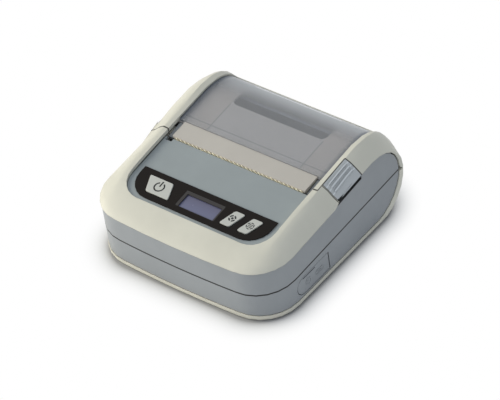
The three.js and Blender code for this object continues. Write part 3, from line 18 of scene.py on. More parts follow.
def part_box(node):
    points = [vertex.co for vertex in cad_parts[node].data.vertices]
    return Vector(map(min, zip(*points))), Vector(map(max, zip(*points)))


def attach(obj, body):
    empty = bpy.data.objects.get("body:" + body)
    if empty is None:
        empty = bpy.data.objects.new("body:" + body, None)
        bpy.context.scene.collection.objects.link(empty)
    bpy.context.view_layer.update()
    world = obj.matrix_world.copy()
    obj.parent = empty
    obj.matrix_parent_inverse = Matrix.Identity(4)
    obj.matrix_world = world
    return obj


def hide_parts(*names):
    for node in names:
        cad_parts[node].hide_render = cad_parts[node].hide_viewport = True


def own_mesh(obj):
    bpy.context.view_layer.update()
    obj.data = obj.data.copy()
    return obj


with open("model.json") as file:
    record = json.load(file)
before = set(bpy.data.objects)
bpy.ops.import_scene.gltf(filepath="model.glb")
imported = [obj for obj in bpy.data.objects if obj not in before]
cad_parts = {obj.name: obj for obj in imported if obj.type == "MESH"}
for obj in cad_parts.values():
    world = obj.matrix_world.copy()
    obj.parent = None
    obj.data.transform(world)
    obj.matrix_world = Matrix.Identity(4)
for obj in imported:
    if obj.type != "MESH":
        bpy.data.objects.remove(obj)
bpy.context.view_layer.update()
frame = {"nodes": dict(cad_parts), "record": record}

MM = 0.001

# %% [markdown]
# ## Where things are
#
# The printer was drawn from its front face backwards, and its keypad leans back a little. Two short
# functions turn those coordinates into places in the frame. Objects could be moved into place
# instead, but a function keeps every number as it is on the drawing.

# %% Drawing coordinates
HALF_DEPTH = 59.5
DECK_HEIGHT = 35.738
DECK_RISE = 0.1285
DECK_ANGLE = math.atan(DECK_RISE)


def from_front(x, y, z):
    """A point measured in millimetres from the front face."""
    return Vector((x, y - HALF_DEPTH, z)) * MM


def deck_matrix(x=0, along=0, height=0):
    """The keypad's own frame: x, up the slope, and out of the panel."""
    lean = Matrix.Rotation(DECK_ANGLE, 4, "X")
    on_panel = Matrix.Translation(Vector((x, along, height)) * MM)
    return Matrix.Translation(from_front(0, 0, DECK_HEIGHT)) @ lean @ on_panel


print("keypad leans back by", round(math.degrees(DECK_ANGLE), 2), "degrees")

# %% [markdown]
# ## The camera
#
# The photograph was taken with a long lens from the right front, about a metre and a half away, and
# the camera was tipped a little to one side. A long lens keeps far edges almost parallel. The
# camera is built from its three directions, so nothing has to aim at an empty.

# %% Camera
AZIMUTH, ELEVATION, ROLL = (math.radians(a) for a in (43.52, 41.51, -9.07))
CAMERA_PLACE = Vector((0.7978, -0.8378, 1.0402))
LENS = 216
NEAREST, FARTHEST = 0.05, 20

backward = Vector((
    math.sin(AZIMUTH) * math.cos(ELEVATION),
    -math.cos(AZIMUTH) * math.cos(ELEVATION),
    math.sin(ELEVATION)))
level_right = Vector((math.cos(AZIMUTH), math.sin(AZIMUTH), 0))
level_up = backward.cross(level_right)
camera_right = level_right * math.cos(ROLL) + level_up * math.sin(ROLL)
camera_up = level_up * math.cos(ROLL) - level_right * math.sin(ROLL)

camera_data = bpy.data.cameras.new("photo_camera")
camera_data.lens = LENS
camera_data.clip_start, camera_data.clip_end = NEAREST, FARTHEST
camera = bpy.data.objects.new("photo_camera", camera_data)
turned = Matrix((camera_right, camera_up, backward)).transposed().to_4x4()
camera.matrix_world = Matrix.Translation(CAMERA_PLACE) @ turned
bpy.context.scene.collection.objects.link(camera)
bpy.context.scene.camera = camera
bpy.context.scene.view_settings.view_transform = "Standard"
print("camera distance:", round(CAMERA_PLACE.length, 3), "m")

# %% [markdown]
# ## Sums on sockets
#
# A material's pattern is arithmetic: noise times a number, plus a mask. Placing each Math node by
# hand hides the arithmetic, so this small class wraps a socket and lets Python's own signs add the
# nodes. The second class makes any other node from its type, its settings and its inputs.

# %% Socket arithmetic and one way to make a node


class Wire:
    """One output socket of a material, on which sums can be written."""

    def __init__(self, recipe, socket):
        self.recipe = recipe
        self.socket = socket

    def maths(self, operation, *values):
        """A Math node that takes these values in their order."""
        return self.recipe.node("Math", {"operation": operation}, dict(enumerate(values)))

    def __add__(self, other):
        return self.maths("ADD", self, other)

    def __sub__(self, other):
        return self.maths("SUBTRACT", self, other)

    def __rsub__(self, other):
        return self.maths("SUBTRACT", other, self)

    def __mul__(self, other):
        return self.maths("MULTIPLY", self, other)

    def __abs__(self):
        return self.maths("ABSOLUTE", self)

    __radd__, __rmul__ = __add__, __mul__

    def either(self, other):
        """The greater of two masks, which is 1 where either of them is."""
        return self.maths("MAXIMUM", self, other)

    def at_most(self, limit):
        return self.maths("MINIMUM", self, limit)

    def between(self, low, high):
        """0 under low, 1 over high, and a soft step between them."""
        return self.recipe.node("MapRange", {"interpolation_type": "SMOOTHSTEP"},
                                {"Value": self, "From Min": low, "From Max": high})

    def band(self, low, high, soft=0.1):
        """1 from one value to another, with soft ends."""
        return self.between(low - soft, low + soft) * (1 - self.between(high - soft, high + soft))


class Recipe:
    """A material, or the world, and the nodes in it."""

    def __init__(self, name, owner=None):
        self.owner = owner or bpy.data.materials.new(name)
        self.owner.use_nodes = True
        self.tree = self.owner.node_tree
        self.tree.nodes.clear()

    def node(self, kind, settings=None, inputs=None, out=0):
        """Any node: its settings are made first, then its sockets are set or linked."""
        made = self.tree.nodes.new("ShaderNode" + kind)
        for key, value in (settings or {}).items():
            setattr(made, key, value)
        for key, value in (inputs or {}).items():
            if isinstance(value, Wire):
                self.tree.links.new(value.socket, made.inputs[key])
            else:
                made.inputs[key].default_value = value
        return Wire(self, made.outputs[out]) if made.outputs else None

    def vectors(self, operation, *values, out=0):
        """A Vector Math node that takes these values in their order."""
        return self.node("VectorMath", {"operation": operation}, dict(enumerate(values)), out)

    def mix(self, share, first, second):
        """A colour between two others; a Mix node keeps it a colour."""
        return self.node("Mix", {"data_type": "RGBA"}, {0: share, 6: first, 7: second}, out=2)

    def drawing(self):
        """The point on the piece, in millimetres, moving with the piece."""
        place = self.node("TexCoord", out="Object")
        return self.node("VectorMath", {"operation": "SCALE"}, {0: place, "Scale": 1 / MM})

    def across_back_up(self):
        """The drawing's x, the distance back from the front face, and the height."""
        x, y, z = (self.node("SeparateXYZ", {}, {0: self.drawing()}, out=axis) for axis in "XYZ")
        return x, y + HALF_DEPTH, z

    def noise(self, place, size, detail=2.0, rough=0.5):
        """Cloudy noise with features of about this many millimetres."""
        return self.node("TexNoise", {}, {
            "Vector": place, "Scale": 1 / size, "Detail": detail, "Roughness": rough}, out="Fac")

    def bump(self, height, strength, depth, normal=None):
        """A surface normal dented by a pattern, to a depth in millimetres."""
        dented = {"Strength": strength, "Distance": depth * MM, "Height": height}
        if normal is not None:
            dented["Normal"] = normal
        return self.node("Bump", {}, dented)

    def finish(self, surface):
        """Ends the material with a shader, and hands it over."""
        self.node("OutputMaterial", {}, {"Surface": surface})
        return self.owner

    def coated(self, inputs):
        """Ends it with the Principled shader, which does for plastic, metal and glass."""
        return self.finish(self.node("BsdfPrincipled", {}, inputs))


print("a wire can do:", [name for name in vars(Wire) if name[0] != "_"])

# %% [markdown]
# ## Colours
#
# A colour picked from a screen is stored so that it suits the eye, while a shader counts light. One
# function turns the first into the second, and another makes a colour lighter or darker.

# %% Colours


def tone(red, green, blue):
    """A colour picked on a screen, 0 to 255, as the linear colour a shader wants."""
    def linear(value):
        share = value / 255
        return share / 12.92 if share <= 0.04045 else ((share + 0.055) / 1.055) ** 2.4
    return (linear(red), linear(green), linear(blue), 1)


def scaled(colour, share):
    """The same colour, lighter or darker."""
    return tuple(min(1, channel * share) for channel in colour[:3]) + (1,)


print("mid grey on a screen is", round(tone(128, 128, 128)[0], 3), "in light")

# %% [markdown]
# ## Table and backdrop
#
# The photograph is a cut-out look: white all round, with a breath of shadow. The world is white
# only to the camera, to mirrors and to glass, and a cool dim sky to everything else. The floor is a
# matt sheet with a painted shadow close to the case, that turns into plain white a finger's breadth
# away. The painted shadow follows the case's outline, a square with round corners.

# %% World
AMBIENT = 0.585
COOL, WHITE = (0.88, 0.94, 1, 1), (1, 1, 1, 1)


def seen_directly(recipe):
    """1 for rays from the camera, off a mirror or through glass, else 0."""
    kinds = ("Is Camera Ray", "Is Glossy Ray", "Is Transmission Ray")
    camera_ray, mirrored, through = (recipe.node("LightPath", out=kind) for kind in kinds)
    return (camera_ray + mirrored + through).at_most(1)


world = Recipe("surroundings", bpy.data.worlds.new("surroundings"))
bpy.context.scene.world = world.owner
sky = world.node("Background", {}, {"Color": COOL, "Strength": AMBIENT})
white_sky = world.node("Background", {}, {"Color": WHITE, "Strength": 1})
both = world.node("MixShader", {}, {0: seen_directly(world), 1: sky, 2: white_sky})
world.node("OutputWorld", {}, {"Surface": both})
print("world made, with a sky of", AMBIENT)

# %% Floor
FLOOR_HALF = 3
CASE_CORNER = 24
SHADE_REACH = 17
# The second tone is the floor's colour right at the case: a painted shadow.
SHEET, PAINTED_SHADOW_TONE = (0.93, 0.93, 0.93, 1), (0.42, 0.42, 0.43, 1)

corners = [(x * FLOOR_HALF, y * FLOOR_HALF, 0) for x, y in ((-1, -1), (1, -1), (1, 1), (-1, 1))]
floor_mesh = bpy.data.meshes.new("table")
floor_mesh.from_pydata(corners, [], [(0, 1, 2, 3)])
floor = bpy.data.objects.new("table", floor_mesh)
bpy.context.scene.collection.objects.link(floor)

paper = Recipe("white_sheet")
straight = HALF_DEPTH - CASE_CORNER
one_quarter = paper.vectors("ABSOLUTE", paper.drawing())
beyond = paper.vectors("SUBTRACT", one_quarter, (straight, straight, 0))
beyond = paper.vectors("MAXIMUM", beyond, (0, 0, 0))
from_case = paper.vectors("LENGTH", beyond, out="Value") - CASE_CORNER
away = paper.node("MapRange", {}, {"Value": from_case, "From Min": 0, "From Max": SHADE_REACH})
near = 1 - away
glow_share = (1 - near * near) * seen_directly(paper)
# Towards the case the sheet is darkened as a painted shadow.
sheet_with_painted_shadow = paper.mix(near * near * near, SHEET, PAINTED_SHADOW_TONE)
matt = paper.node("BsdfPrincipled", {}, {
    "Base Color": sheet_with_painted_shadow, "Roughness": 1, "Specular IOR Level": 0})
glow = paper.node("Emission", {}, {"Color": WHITE, "Strength": 1})
lit_or_white = paper.node("MixShader", {}, {0: glow_share, 1: matt, 2: glow})
floor_mesh.materials.append(paper.finish(lit_or_white))
print("floor shaded for", SHADE_REACH, "mm round the case")

# %% [markdown]
# ## Lamps
#
# A large warm lamp stands low at the left, where the shells are brightest, and a weak one at the
# left front fills in, so that the right side stays in a cool shade. A spotlight would draw hard
# shadows; a broad area lamp gives the soft ones of a studio.

# %% Lamps
MIDDLE = (0, 0, 0.03)


def lamp(name, place, power, size, colour):
    """A square area lamp that looks at the middle of the printer."""
    data = bpy.data.lights.new(name, "AREA")
    data.energy, data.size, data.color = power, size, colour
    made = bpy.data.objects.new(name, data)
    made.location = place
    made.rotation_euler = (Vector(MIDDLE) - Vector(place)).to_track_quat("-Z", "Y").to_euler()
    bpy.context.scene.collection.objects.link(made)


lamp("key_lamp", (-1.15, -0.55, 0.55), power=12.2, size=0.8, colour=(1, 0.93, 0.75))
lamp("front_lamp", (-0.8, -1.15, 0.75), power=2.7, size=0.8, colour=(1, 0.97, 0.92))

# %% [markdown]
# ## Rounded edges
#
# No moulded edge is sharp, and hands polish it further. A Bevel node rounds the light on every edge
# without touching the mesh. Where its normal leaves the face's own, there is an edge, so the same
# node tells where the plastic is worn and where a painted highlight lightens it.

# %% Edges
EDGE_ROUND = 0.28


def edge_light(recipe, radius=EDGE_ROUND):
    """The rounded normal at edges, and a mask that is 1 on them."""
    rounded = recipe.node("Bevel", {"samples": 4}, {"Radius": radius * MM})
    plain = recipe.node("NewGeometry", out="Normal")
    same = recipe.vectors("DOT_PRODUCT", rounded, plain, out="Value")
    return rounded, (1 - same).between(0.01, 0.2)


print("edges look rounded by", EDGE_ROUND, "mm")

# %% [markdown]
# ## Painted shade in the gaps
#
# The gaps between the shells are a few tenths of a millimetre wide and near black. Two things
# darken them here, both painted shade. An Ambient Occlusion node with a short reach finds any
# narrow place, and along the main gaps the shade is painted by its place on the drawing, so that it
# is dark from every side. The places below are across from the middle, back from the front face,
# and up from the table.

# %% Gaps
GAP_REACH = 0.9
# The colour of the painted shade in narrow places and along the main gaps.
GAP_SHADE_COLOUR = tone(20, 18, 16)
SPLIT = 59
LATCH = {"inner": 49.65, "front": 62.7, "rear": 82.8}
SEAM = {"height": 17.4, "rise": 0.05, "gap": 0.5}
POCKET = {"height": 30.7, "rise": 0.11, "ease": 0.15}
# Widths of the bands of painted shade beside each gap, in millimetres.
GAP_SHADE_WIDTH = {"split": 0.4, "beyond": 0.35, "lap": 0.1, "inner_lap": 0.25, "seam": 0.5}
SOFT, CRISP, SEAM_SOFT = 0.1, 0.05, 0.06


def arm_gap_shade(recipe):
    """Where shade is painted: 1 along the split of the arms, and on the cream edges round the
    latch.
    """
    across, back, _ = recipe.across_back_up()
    outside = across.between(LATCH["inner"] - SOFT, LATCH["inner"] + SOFT)
    split = back.band(SPLIT - GAP_SHADE_WIDTH["split"], SPLIT + GAP_SHADE_WIDTH["split"], CRISP) * (1 - outside)
    inner = across.band(LATCH["inner"] - GAP_SHADE_WIDTH["beyond"], LATCH["inner"] + GAP_SHADE_WIDTH["inner_lap"], CRISP)
    inner = inner * back.band(SPLIT - 2 * SOFT, LATCH["rear"])
    front = back.band(LATCH["front"] - GAP_SHADE_WIDTH["beyond"], LATCH["front"] + GAP_SHADE_WIDTH["lap"], CRISP)
    rear = back.band(LATCH["rear"] - GAP_SHADE_WIDTH["lap"], LATCH["rear"] + GAP_SHADE_WIDTH["beyond"], CRISP)
    return split.either(inner.either(front.either(rear) * outside))


def case_gap_shade(recipe):
    """Where shade is painted: 1 along the case's seam, and in the finger's pocket under the latch.
    """
    across, back, up = recipe.across_back_up()
    over_seam = up - back * SEAM["rise"]
    seam = over_seam.band(SEAM["height"] - GAP_SHADE_WIDTH["seam"], SEAM["height"] + GAP_SHADE_WIDTH["seam"], SEAM_SOFT)
    over_pocket = up - back * POCKET["rise"]
    top, ease = POCKET["height"], POCKET["ease"]
    pocket = over_pocket.between(top - 2 * ease, top - ease)
    pocket = pocket * back.band(SPLIT, LATCH["rear"])
    return seam.either(pocket * across.between(LATCH["inner"] - 2 * SOFT, LATCH["inner"]))


print("painted gaps: split at", SPLIT, "and latch to", LATCH["rear"], "mm behind the front")

# %% [markdown]
# ## Moulded plastic
#
# The shells are ABS from a mould whose steel was etched to a fine grain. Close up there are three
# things: a grain of a few tenths of a millimetre, very faint clouds where the melt cooled at
# different speeds, and edges that hands have polished. The grain goes through a Bump node, the
# clouds tint the colour, and the edge mask makes the edges a little lighter and smoother, partly as
# wear and partly as a painted highlight. Narrow places take a crevice colour, which is painted
# shade on most pieces and a painted highlight on the key panel. The latch's three ribs are painted
# lighter as a painted highlight, and its edges darker as painted shade.

# %% Moulded plastic recipe
CLOUD_SIZE, TOUCH_SIZE = 26, 9
LATCH_RIBS = (51.9, 53.8, 55.7)
RIB_HALF = 0.25


def moulded(name, colour, roughness=0.5, grain=0.32, depth=0.012, wear_and_painted_light=0.5, edge_share=1.22,
            ribs=(), dust_and_painted_light=GAP_SHADE_COLOUR, gaps=None):
    """Moulded plastic; the grain and its depth are in millimetres."""
    recipe = Recipe(name)
    place = recipe.drawing()
    rounded, edges = edge_light(recipe)
    clouds = recipe.noise(place, CLOUD_SIZE, detail=3, rough=0.6)
    specks = recipe.noise(place, grain, rough=0.6)
    body = recipe.mix(clouds.between(0.3, 0.7), scaled(colour, 0.965), scaled(colour, 1.03))
    # Edges are lighter, partly as wear and partly as a painted highlight; an edge_share under 1
    # paints them darker as shade.
    body = recipe.mix(edges * wear_and_painted_light, body, scaled(colour, edge_share))
    body = recipe.mix(specks.between(0.35, 0.75) * 0.12, body, scaled(colour, 0.86))
    # Narrow places take the crevice colour, which is painted shade by default.
    reach = {"Distance": GAP_REACH * MM}
    open_air = recipe.node("AmbientOcclusion", {"samples": 4}, reach, out="AO")
    body = recipe.mix(open_air.between(0.15, 0.55), dust_and_painted_light, body)
    # Along the main gaps the colour is painted shade.
    if gaps:
        body = recipe.mix(gaps(recipe) * 0.9, body, GAP_SHADE_COLOUR)
    # The latch's ribs are painted lighter, as a painted highlight.
    for rib in ribs:
        rib_highlight = recipe.across_back_up()[0].band(rib - RIB_HALF, rib + RIB_HALF)
        body = recipe.mix(rib_highlight * 0.7, body, scaled(colour, 1.5))
    handled = recipe.noise(place, TOUCH_SIZE)
    shine = handled.between(0.3, 0.75) * 0.08 + (roughness - 0.04) - edges * 0.08
    dented = recipe.bump(specks, strength=0.5, depth=depth, normal=rounded)
    return recipe.coated({"Base Color": body, "Roughness": shine, "Normal": dented})


print("clouds of", CLOUD_SIZE, "mm, handled patches of", TOUCH_SIZE, "mm")

# %% Plastics
plastics = {
    # The cream and grey shells take painted shade along their main gaps.
    "cream_shell": {"colour": tone(212, 210, 198), "roughness": 0.46, "gaps": arm_gap_shade},
    "cream_base": {"colour": tone(222, 219, 206), "roughness": 0.46},
    "grey_shell": {"colour": tone(153, 157, 161), "gaps": case_gap_shade},
    # The key panel's narrow places beside the bezel are painted light, a painted highlight on its
    # rim.
    "panel_grey": {"colour": tone(150, 158, 161), "dust_and_painted_light": tone(212, 218, 230)},
    # The latch's edges are painted darker as shade, and its ribs lighter as a painted highlight.
    "latch_grey": {"colour": tone(190, 194, 197), "roughness": 0.45, "wear_and_painted_light": 0.9,
                   "edge_share": 0.35, "ribs": LATCH_RIBS},
    "beige_bar": {"colour": tone(193, 188, 181)},
    "key_white": {"colour": tone(197, 198, 193), "roughness": 0.4, "grain": 0.2, "depth": 0.004},
    "dark_plastic": {"colour": tone(66, 68, 72)},
    "guide_grey": {"colour": tone(112, 118, 126)},
    "bay_grey": {"colour": tone(150, 160, 178)},
    "nylon": {"colour": tone(226, 224, 214), "roughness": 0.42, "grain": 0.5, "depth": 0.004,
              "wear_and_painted_light": 0.2},
    "battery_wrap": {"colour": tone(52, 60, 84), "roughness": 0.3, "grain": 1.2, "depth": 0.01,
                     "wear_and_painted_light": 0.1},
}
finishes = {name: moulded(name, **choices) for name, choices in plastics.items()}
print("plastics:", len(finishes))

# %% [markdown]
# ## Film and display
#
# The keypad's black is a thin film, printed on its back, so its front is smooth and glossy, with
# only a slight orange peel. The display is an unlit liquid crystal under a clear face: violet grey,
# a little lighter towards the front.

# %% Film and display
DISPLAY_BACK = (20, 31)


def film(name, colour, specular=0.15):
    """Smooth printed film with a little dust on it."""
    recipe = Recipe(name)
    place = recipe.drawing()
    dust_and_painted_light = recipe.noise(place, size=0.5, detail=3, rough=0.7)
    tint = recipe.mix(dust_and_painted_light.between(0.55, 0.8) * 0.25, colour, scaled(colour, 1.6))
    peel = recipe.bump(recipe.noise(place, size=1.6, detail=1), strength=0.15, depth=0.004)
    return recipe.coated({
        "Base Color": tint, "Roughness": dust_and_painted_light * 0.12 + 0.2, "Normal": peel,
        "Specular IOR Level": specular})


def liquid_crystal():
    """The display's face, shaded from its front to its rear."""
    recipe = Recipe("display")
    back = recipe.across_back_up()[1]
    clouds = recipe.noise(recipe.drawing(), size=7)
    lit = recipe.mix(back.between(*DISPLAY_BACK), tone(96, 101, 134), tone(78, 78, 108))
    lit = recipe.mix(clouds * 0.2, lit, tone(106, 104, 128))
    return recipe.coated({"Base Color": lit, "Roughness": clouds * 0.08 + 0.22, "Coat Weight": 0.4})


finishes["black_film"] = film("black_film", tone(22, 17, 14), 0.12)
finishes["display"] = liquid_crystal()
print("printed finishes made:", [name for name in finishes if name not in plastics])

# %% [markdown]
# ## Window and the frame under it
#
# The big window is smoked plastic with a satin face. Real glass would need many samples to clear,
# so the smoke is a clear coat over a colour that lets most light straight through. It hides more at
# its two sides, where a darker band is a painted shadow of the arms, and towards its rear, where it
# is painted lighter as a painted reflection; a thin pale line along its rear lip is a painted
# highlight. On the frame under it, the ribs are drawn as painted shade lines and the lip behind its
# opening as a painted highlight, by their places.

# %% Window and inner frame
COVER_RIBS = {"side": 30, "front": 73.3, "half": 0.35}
OPENING = {"front": 91, "rear": 107, "lip": 0.5}
# The painted shadow of the arms starts this far across from the middle.
WINDOW_SHADOW_EDGE = 44
# Where the painted highlight along the window's rear lip lies.
WINDOW_LIP_HIGHLIGHT = {"rear": 109.2, "side": 28, "half": 0.25}


def inner_frame():
    """Seen through the smoke: neutral between its ribs, warmer beside them."""
    recipe = Recipe("inner_frame")
    across, back, _ = recipe.across_back_up()
    clouds = recipe.noise(recipe.drawing(), size=24, detail=3)
    side, front, half = COVER_RIBS["side"], COVER_RIBS["front"], COVER_RIBS["half"]
    middle = across.band(-side, side, 0.3)
    tint = recipe.mix(middle, tone(219, 211, 207), tone(220, 216, 216))
    tint = recipe.mix(clouds.between(0.3, 0.7) * 0.3, tint, tone(208, 207, 211))
    # The ribs are drawn as darker lines: painted shade.
    side_rib_shade = abs(across).band(side - half, side + half, 0.2)
    side_rib_shade = side_rib_shade * (1 - back.between(OPENING["front"] - 1, OPENING["front"]))
    front_rib_shade = back.band(front - half, front + half, 0.2)
    tint = recipe.mix(side_rib_shade.either(front_rib_shade) * 0.55, tint, tone(112, 118, 130))
    # A white line behind the opening: a painted highlight on its lip.
    lip = back.band(OPENING["rear"], OPENING["rear"] + OPENING["lip"]) * middle
    tint = recipe.mix(lip, tint, WHITE)
    return recipe.coated({"Base Color": tint, "Roughness": clouds * 0.1 + 0.45})


def smoked():
    """The window's smoke, which hides more at its sides, its edges and its rear; its sides carry a
    painted shadow, its rear a painted reflection and its lip a painted highlight.
    """
    recipe = Recipe("smoke")
    place = recipe.drawing()
    across, back, _ = recipe.across_back_up()
    rounded, edges = edge_light(recipe, radius=0.4)
    satin = recipe.noise(place, size=0.4)
    clouds = recipe.noise(place, size=30)
    tint = recipe.mix(clouds.between(0.3, 0.7), tone(168, 170, 174), tone(174, 175, 179))
    # Lighter towards the rear: a painted reflection.
    rear = back.between(OPENING["front"] + 2, OPENING["rear"] + 5)
    tint = recipe.mix(rear, tint, tone(216, 219, 223))
    # A darker band at each side: a painted shadow of the arms.
    window_arm_shadow = 1 - across.band(-WINDOW_SHADOW_EDGE, WINDOW_SHADOW_EDGE, 1.2)
    tint = recipe.mix(window_arm_shadow, tint, tone(112, 120, 132))
    # A pale line along the rear lip: a painted highlight.
    line, side, half = WINDOW_LIP_HIGHLIGHT["rear"], WINDOW_LIP_HIGHLIGHT["side"], WINDOW_LIP_HIGHLIGHT["half"]
    lip = back.band(line - half, line + half) * across.band(-side, side, 0.5)
    tint = recipe.mix(lip, tint, tone(250, 250, 252))
    tint = recipe.mix(edges * 0.5, tint, tone(214, 218, 220))
    hidden = edges * 0.35 + rear * 0.35 + window_arm_shadow * 0.1 + lip * 0.3 + 0.34
    dented = recipe.bump(satin, strength=0.25, depth=0.004, normal=rounded)
    return recipe.coated({
        "Base Color": tint, "Roughness": satin * 0.1 + 0.24, "Normal": dented,
        "Alpha": hidden.at_most(1), "Coat Weight": 0.2})


finishes["inner_frame"] = inner_frame()
finishes["smoke"] = smoked()
# The window is clear between the painted shadow bands at its sides.
print("window clear for", 2 * WINDOW_SHADOW_EDGE, "mm between its seats")

# %% [markdown]
# ## Metals and rubber
#
# Sheet steel shows the direction it was rolled in, so its noise is stretched along one axis. Rubber
# is matt and dusty. The roller's has a fine grain drawn out along its length.

# %% Metals and rubber


def metal(name, colour, roughness):
    """Rolled metal, with its lines along the printer's width."""
    recipe = Recipe(name)
    place = recipe.drawing()
    drawn_out = recipe.vectors("MULTIPLY", place, (0.08, 1.0, 1.0))
    lines = recipe.noise(drawn_out, size=0.35, detail=3, rough=0.7)
    rounded, edges = edge_light(recipe, radius=0.15)
    tint = recipe.mix(recipe.noise(place, size=8), scaled(colour, 0.88), scaled(colour, 1.05))
    tint = recipe.mix(edges * 0.5, tint, scaled(colour, 1.2))
    dented = recipe.bump(lines, strength=0.3, depth=0.004, normal=rounded)
    return recipe.coated({
        "Base Color": tint, "Metallic": 1.0, "Roughness": lines * 0.2 + (roughness - 0.1),
        "Normal": dented})


def rubbery(name, colour, stretch=(1.0, 1.0, 1.0)):
    """Matt rubber; a share under 1 draws its grain out along that axis."""
    recipe = Recipe(name)
    place = recipe.drawing()
    grain = recipe.noise(recipe.vectors("MULTIPLY", place, stretch), size=0.3, detail=3, rough=0.6)
    dust_and_painted_light = recipe.noise(place, size=3, detail=3)
    tint = recipe.mix(dust_and_painted_light.between(0.5, 0.8) * 0.4, colour, scaled(colour, 1.9))
    dented = recipe.bump(grain, strength=0.4, depth=0.01)
    return recipe.coated({"Base Color": tint, "Roughness": dust_and_painted_light * 0.15 + 0.6, "Normal": dented})


for name, colour, roughness in (("bright_steel", tone(204, 204, 201), 0.28),
                                ("tooth_steel", tone(255, 246, 222), 0.22),
                                ("frame_steel", tone(176, 178, 180), 0.4),
                                ("heat_sink", tone(186, 189, 192), 0.42)):
    finishes[name] = metal(name, colour, roughness)
finishes["roller_rubber"] = rubbery("roller_rubber", tone(44, 44, 46), (0.15, 1.0, 1.0))
finishes["foot_rubber"] = rubbery("foot_rubber", tone(50, 50, 53))
# Black for the thin sheets that stand in the gaps as painted shadow.
finishes["gap_shadow_black"] = rubbery("gap_shadow_black", tone(22, 21, 20))
print("finishes so far:", len(finishes))

# %% [markdown]
# ## Ceramic and circuit board
#
# The print head is glazed ceramic with one dark line, the row of heaters. The boards have a green
# mask over faint copper tracks. A brick pattern draws the tracks, because its mortar is a net of
# thin straight lines.

# %% Ceramic and circuit board
HEATER = (38.25, 38.95)


def glazed():
    """Glazed ceramic, with the heaters' line at its height on the drawing."""
    recipe = Recipe("ceramic")
    heater = recipe.across_back_up()[2].band(*HEATER, 0.05)
    clouds = recipe.noise(recipe.drawing(), size=2.5, detail=3)
    tint = recipe.mix(clouds, tone(226, 222, 208), tone(236, 233, 222))
    tint = recipe.mix(heater, tint, tone(118, 92, 70))
    return recipe.coated({"Base Color": tint, "Roughness": clouds * 0.1 + 0.15, "Coat Weight": 0.5})


def tracked():
    """A green board with tracks a little raised under its mask."""
    recipe = Recipe("circuit_board")
    place = recipe.drawing()
    black = (0, 0, 0, 1)
    tracks = recipe.node("TexBrick", {}, {
        "Vector": place, "Scale": 0.35, "Mortar Size": 0.06,
        "Color1": black, "Color2": black, "Mortar": WHITE}, out="Fac")
    weave = recipe.noise(place, size=0.8)
    tint = recipe.mix(weave, tone(24, 84, 52), tone(32, 98, 62))
    tint = recipe.mix(tracks * 0.6, tint, tone(58, 128, 84))
    raised = recipe.bump(tracks, strength=0.4, depth=0.03)
    return recipe.coated({"Base Color": tint, "Roughness": weave * 0.1 + 0.3, "Normal": raised})


finishes["ceramic"] = glazed()
finishes["circuit_board"] = tracked()
print("all finishes:", sorted(finishes))

# %% [markdown]
# ## Smooth shading for the ready-made shells
#
# A CAD mesh arrives with one flat normal for each triangle, which would show every facet of a
# rounded corner. The mesh itself must stay as it is, so a small Geometry Nodes modifier does the
# work on top: it joins the triangles' shared corners, drops the flat normals, and shades smoothly
# across all edges that are nearly flat.

# %% Shading modifier
SHARP_DEGREES = 32
WELD_REACH = 0.002


def smooth_by_angle():
    """The node group that welds a mesh and keeps only its sharp edges sharp."""
    group = bpy.data.node_groups.new("smooth_by_angle", "GeometryNodeTree")
    for way in ("INPUT", "OUTPUT"):
        group.interface.new_socket("Geometry", in_out=way, socket_type="NodeSocketGeometry")

    def add(kind, **settings):
        made = group.nodes.new(kind)
        for key, value in settings.items():
            setattr(made, key, value)
        return made

    came, went = add("NodeGroupInput"), add("NodeGroupOutput")
    weld = add("GeometryNodeMergeByDistance")
    weld.inputs["Distance"].default_value = WELD_REACH * MM
    drop = add("GeometryNodeRemoveAttribute")
    drop.inputs["Name"].default_value = "custom_normal"
    angle = add("GeometryNodeInputMeshEdgeAngle")
    sharp = add("FunctionNodeCompare", data_type="FLOAT", operation="GREATER_THAN")
    sharp.inputs["B"].default_value = math.radians(SHARP_DEGREES)
    faces = add("GeometryNodeSetShadeSmooth", domain="FACE")
    edges = add("GeometryNodeSetShadeSmooth", domain="EDGE")
    edges.inputs["Shade Smooth"].default_value = False
    link = group.links.new
    link(came.outputs[0], weld.inputs["Geometry"])
    link(weld.outputs[0], drop.inputs["Geometry"])
    link(drop.outputs[0], faces.inputs["Geometry"])
    link(faces.outputs[0], edges.inputs["Geometry"])
    link(angle.outputs["Unsigned Angle"], sharp.inputs["A"])
    link(sharp.outputs["Result"], edges.inputs["Selection"])
    link(edges.outputs[0], went.inputs[0])
    return group


shading = smooth_by_angle()
print("edges over", SHARP_DEGREES, "degrees stay sharp")

# %% [markdown]
# ## A finish for every ready-made piece
#
# The record gives each node a material slot, which names its finish. A few pieces of one slot
# differ on the real printer, such as the latch, a lighter grey than the walls, so those are named
# here. The keys and the two small doors are also rounded: one modifier joins the triangles of
# their flat faces, and a Bevel modifier rounds the edges left.

# %% Assign finishes
own_finish = {
    "base_cover": "cream_base",
    "battery_door": "cream_base",
    "latch_button": "latch_grey",
    "print_frame": "dark_plastic",
    "tear_bar": "tooth_steel",
    "paper_guide_left": "guide_grey",
    "paper_guide_right": "guide_grey",
    "guide_rack_left": "guide_grey",
    "guide_rack_right": "guide_grey",
    "cover_inner_frame": "inner_frame",
    "paper_bay": "bay_grey",
}
rounding = {"power_button": 0.35, "settings_button": 0.35, "feed_button": 0.35,
            "battery_door": 0.25, "port_cover": 0.2}
FLAT_DEGREES, ROUND_OVER_DEGREES = 1, 38
slot_of = {row["node"]: row["material_slot"] for row in frame["record"]["subparts"]}


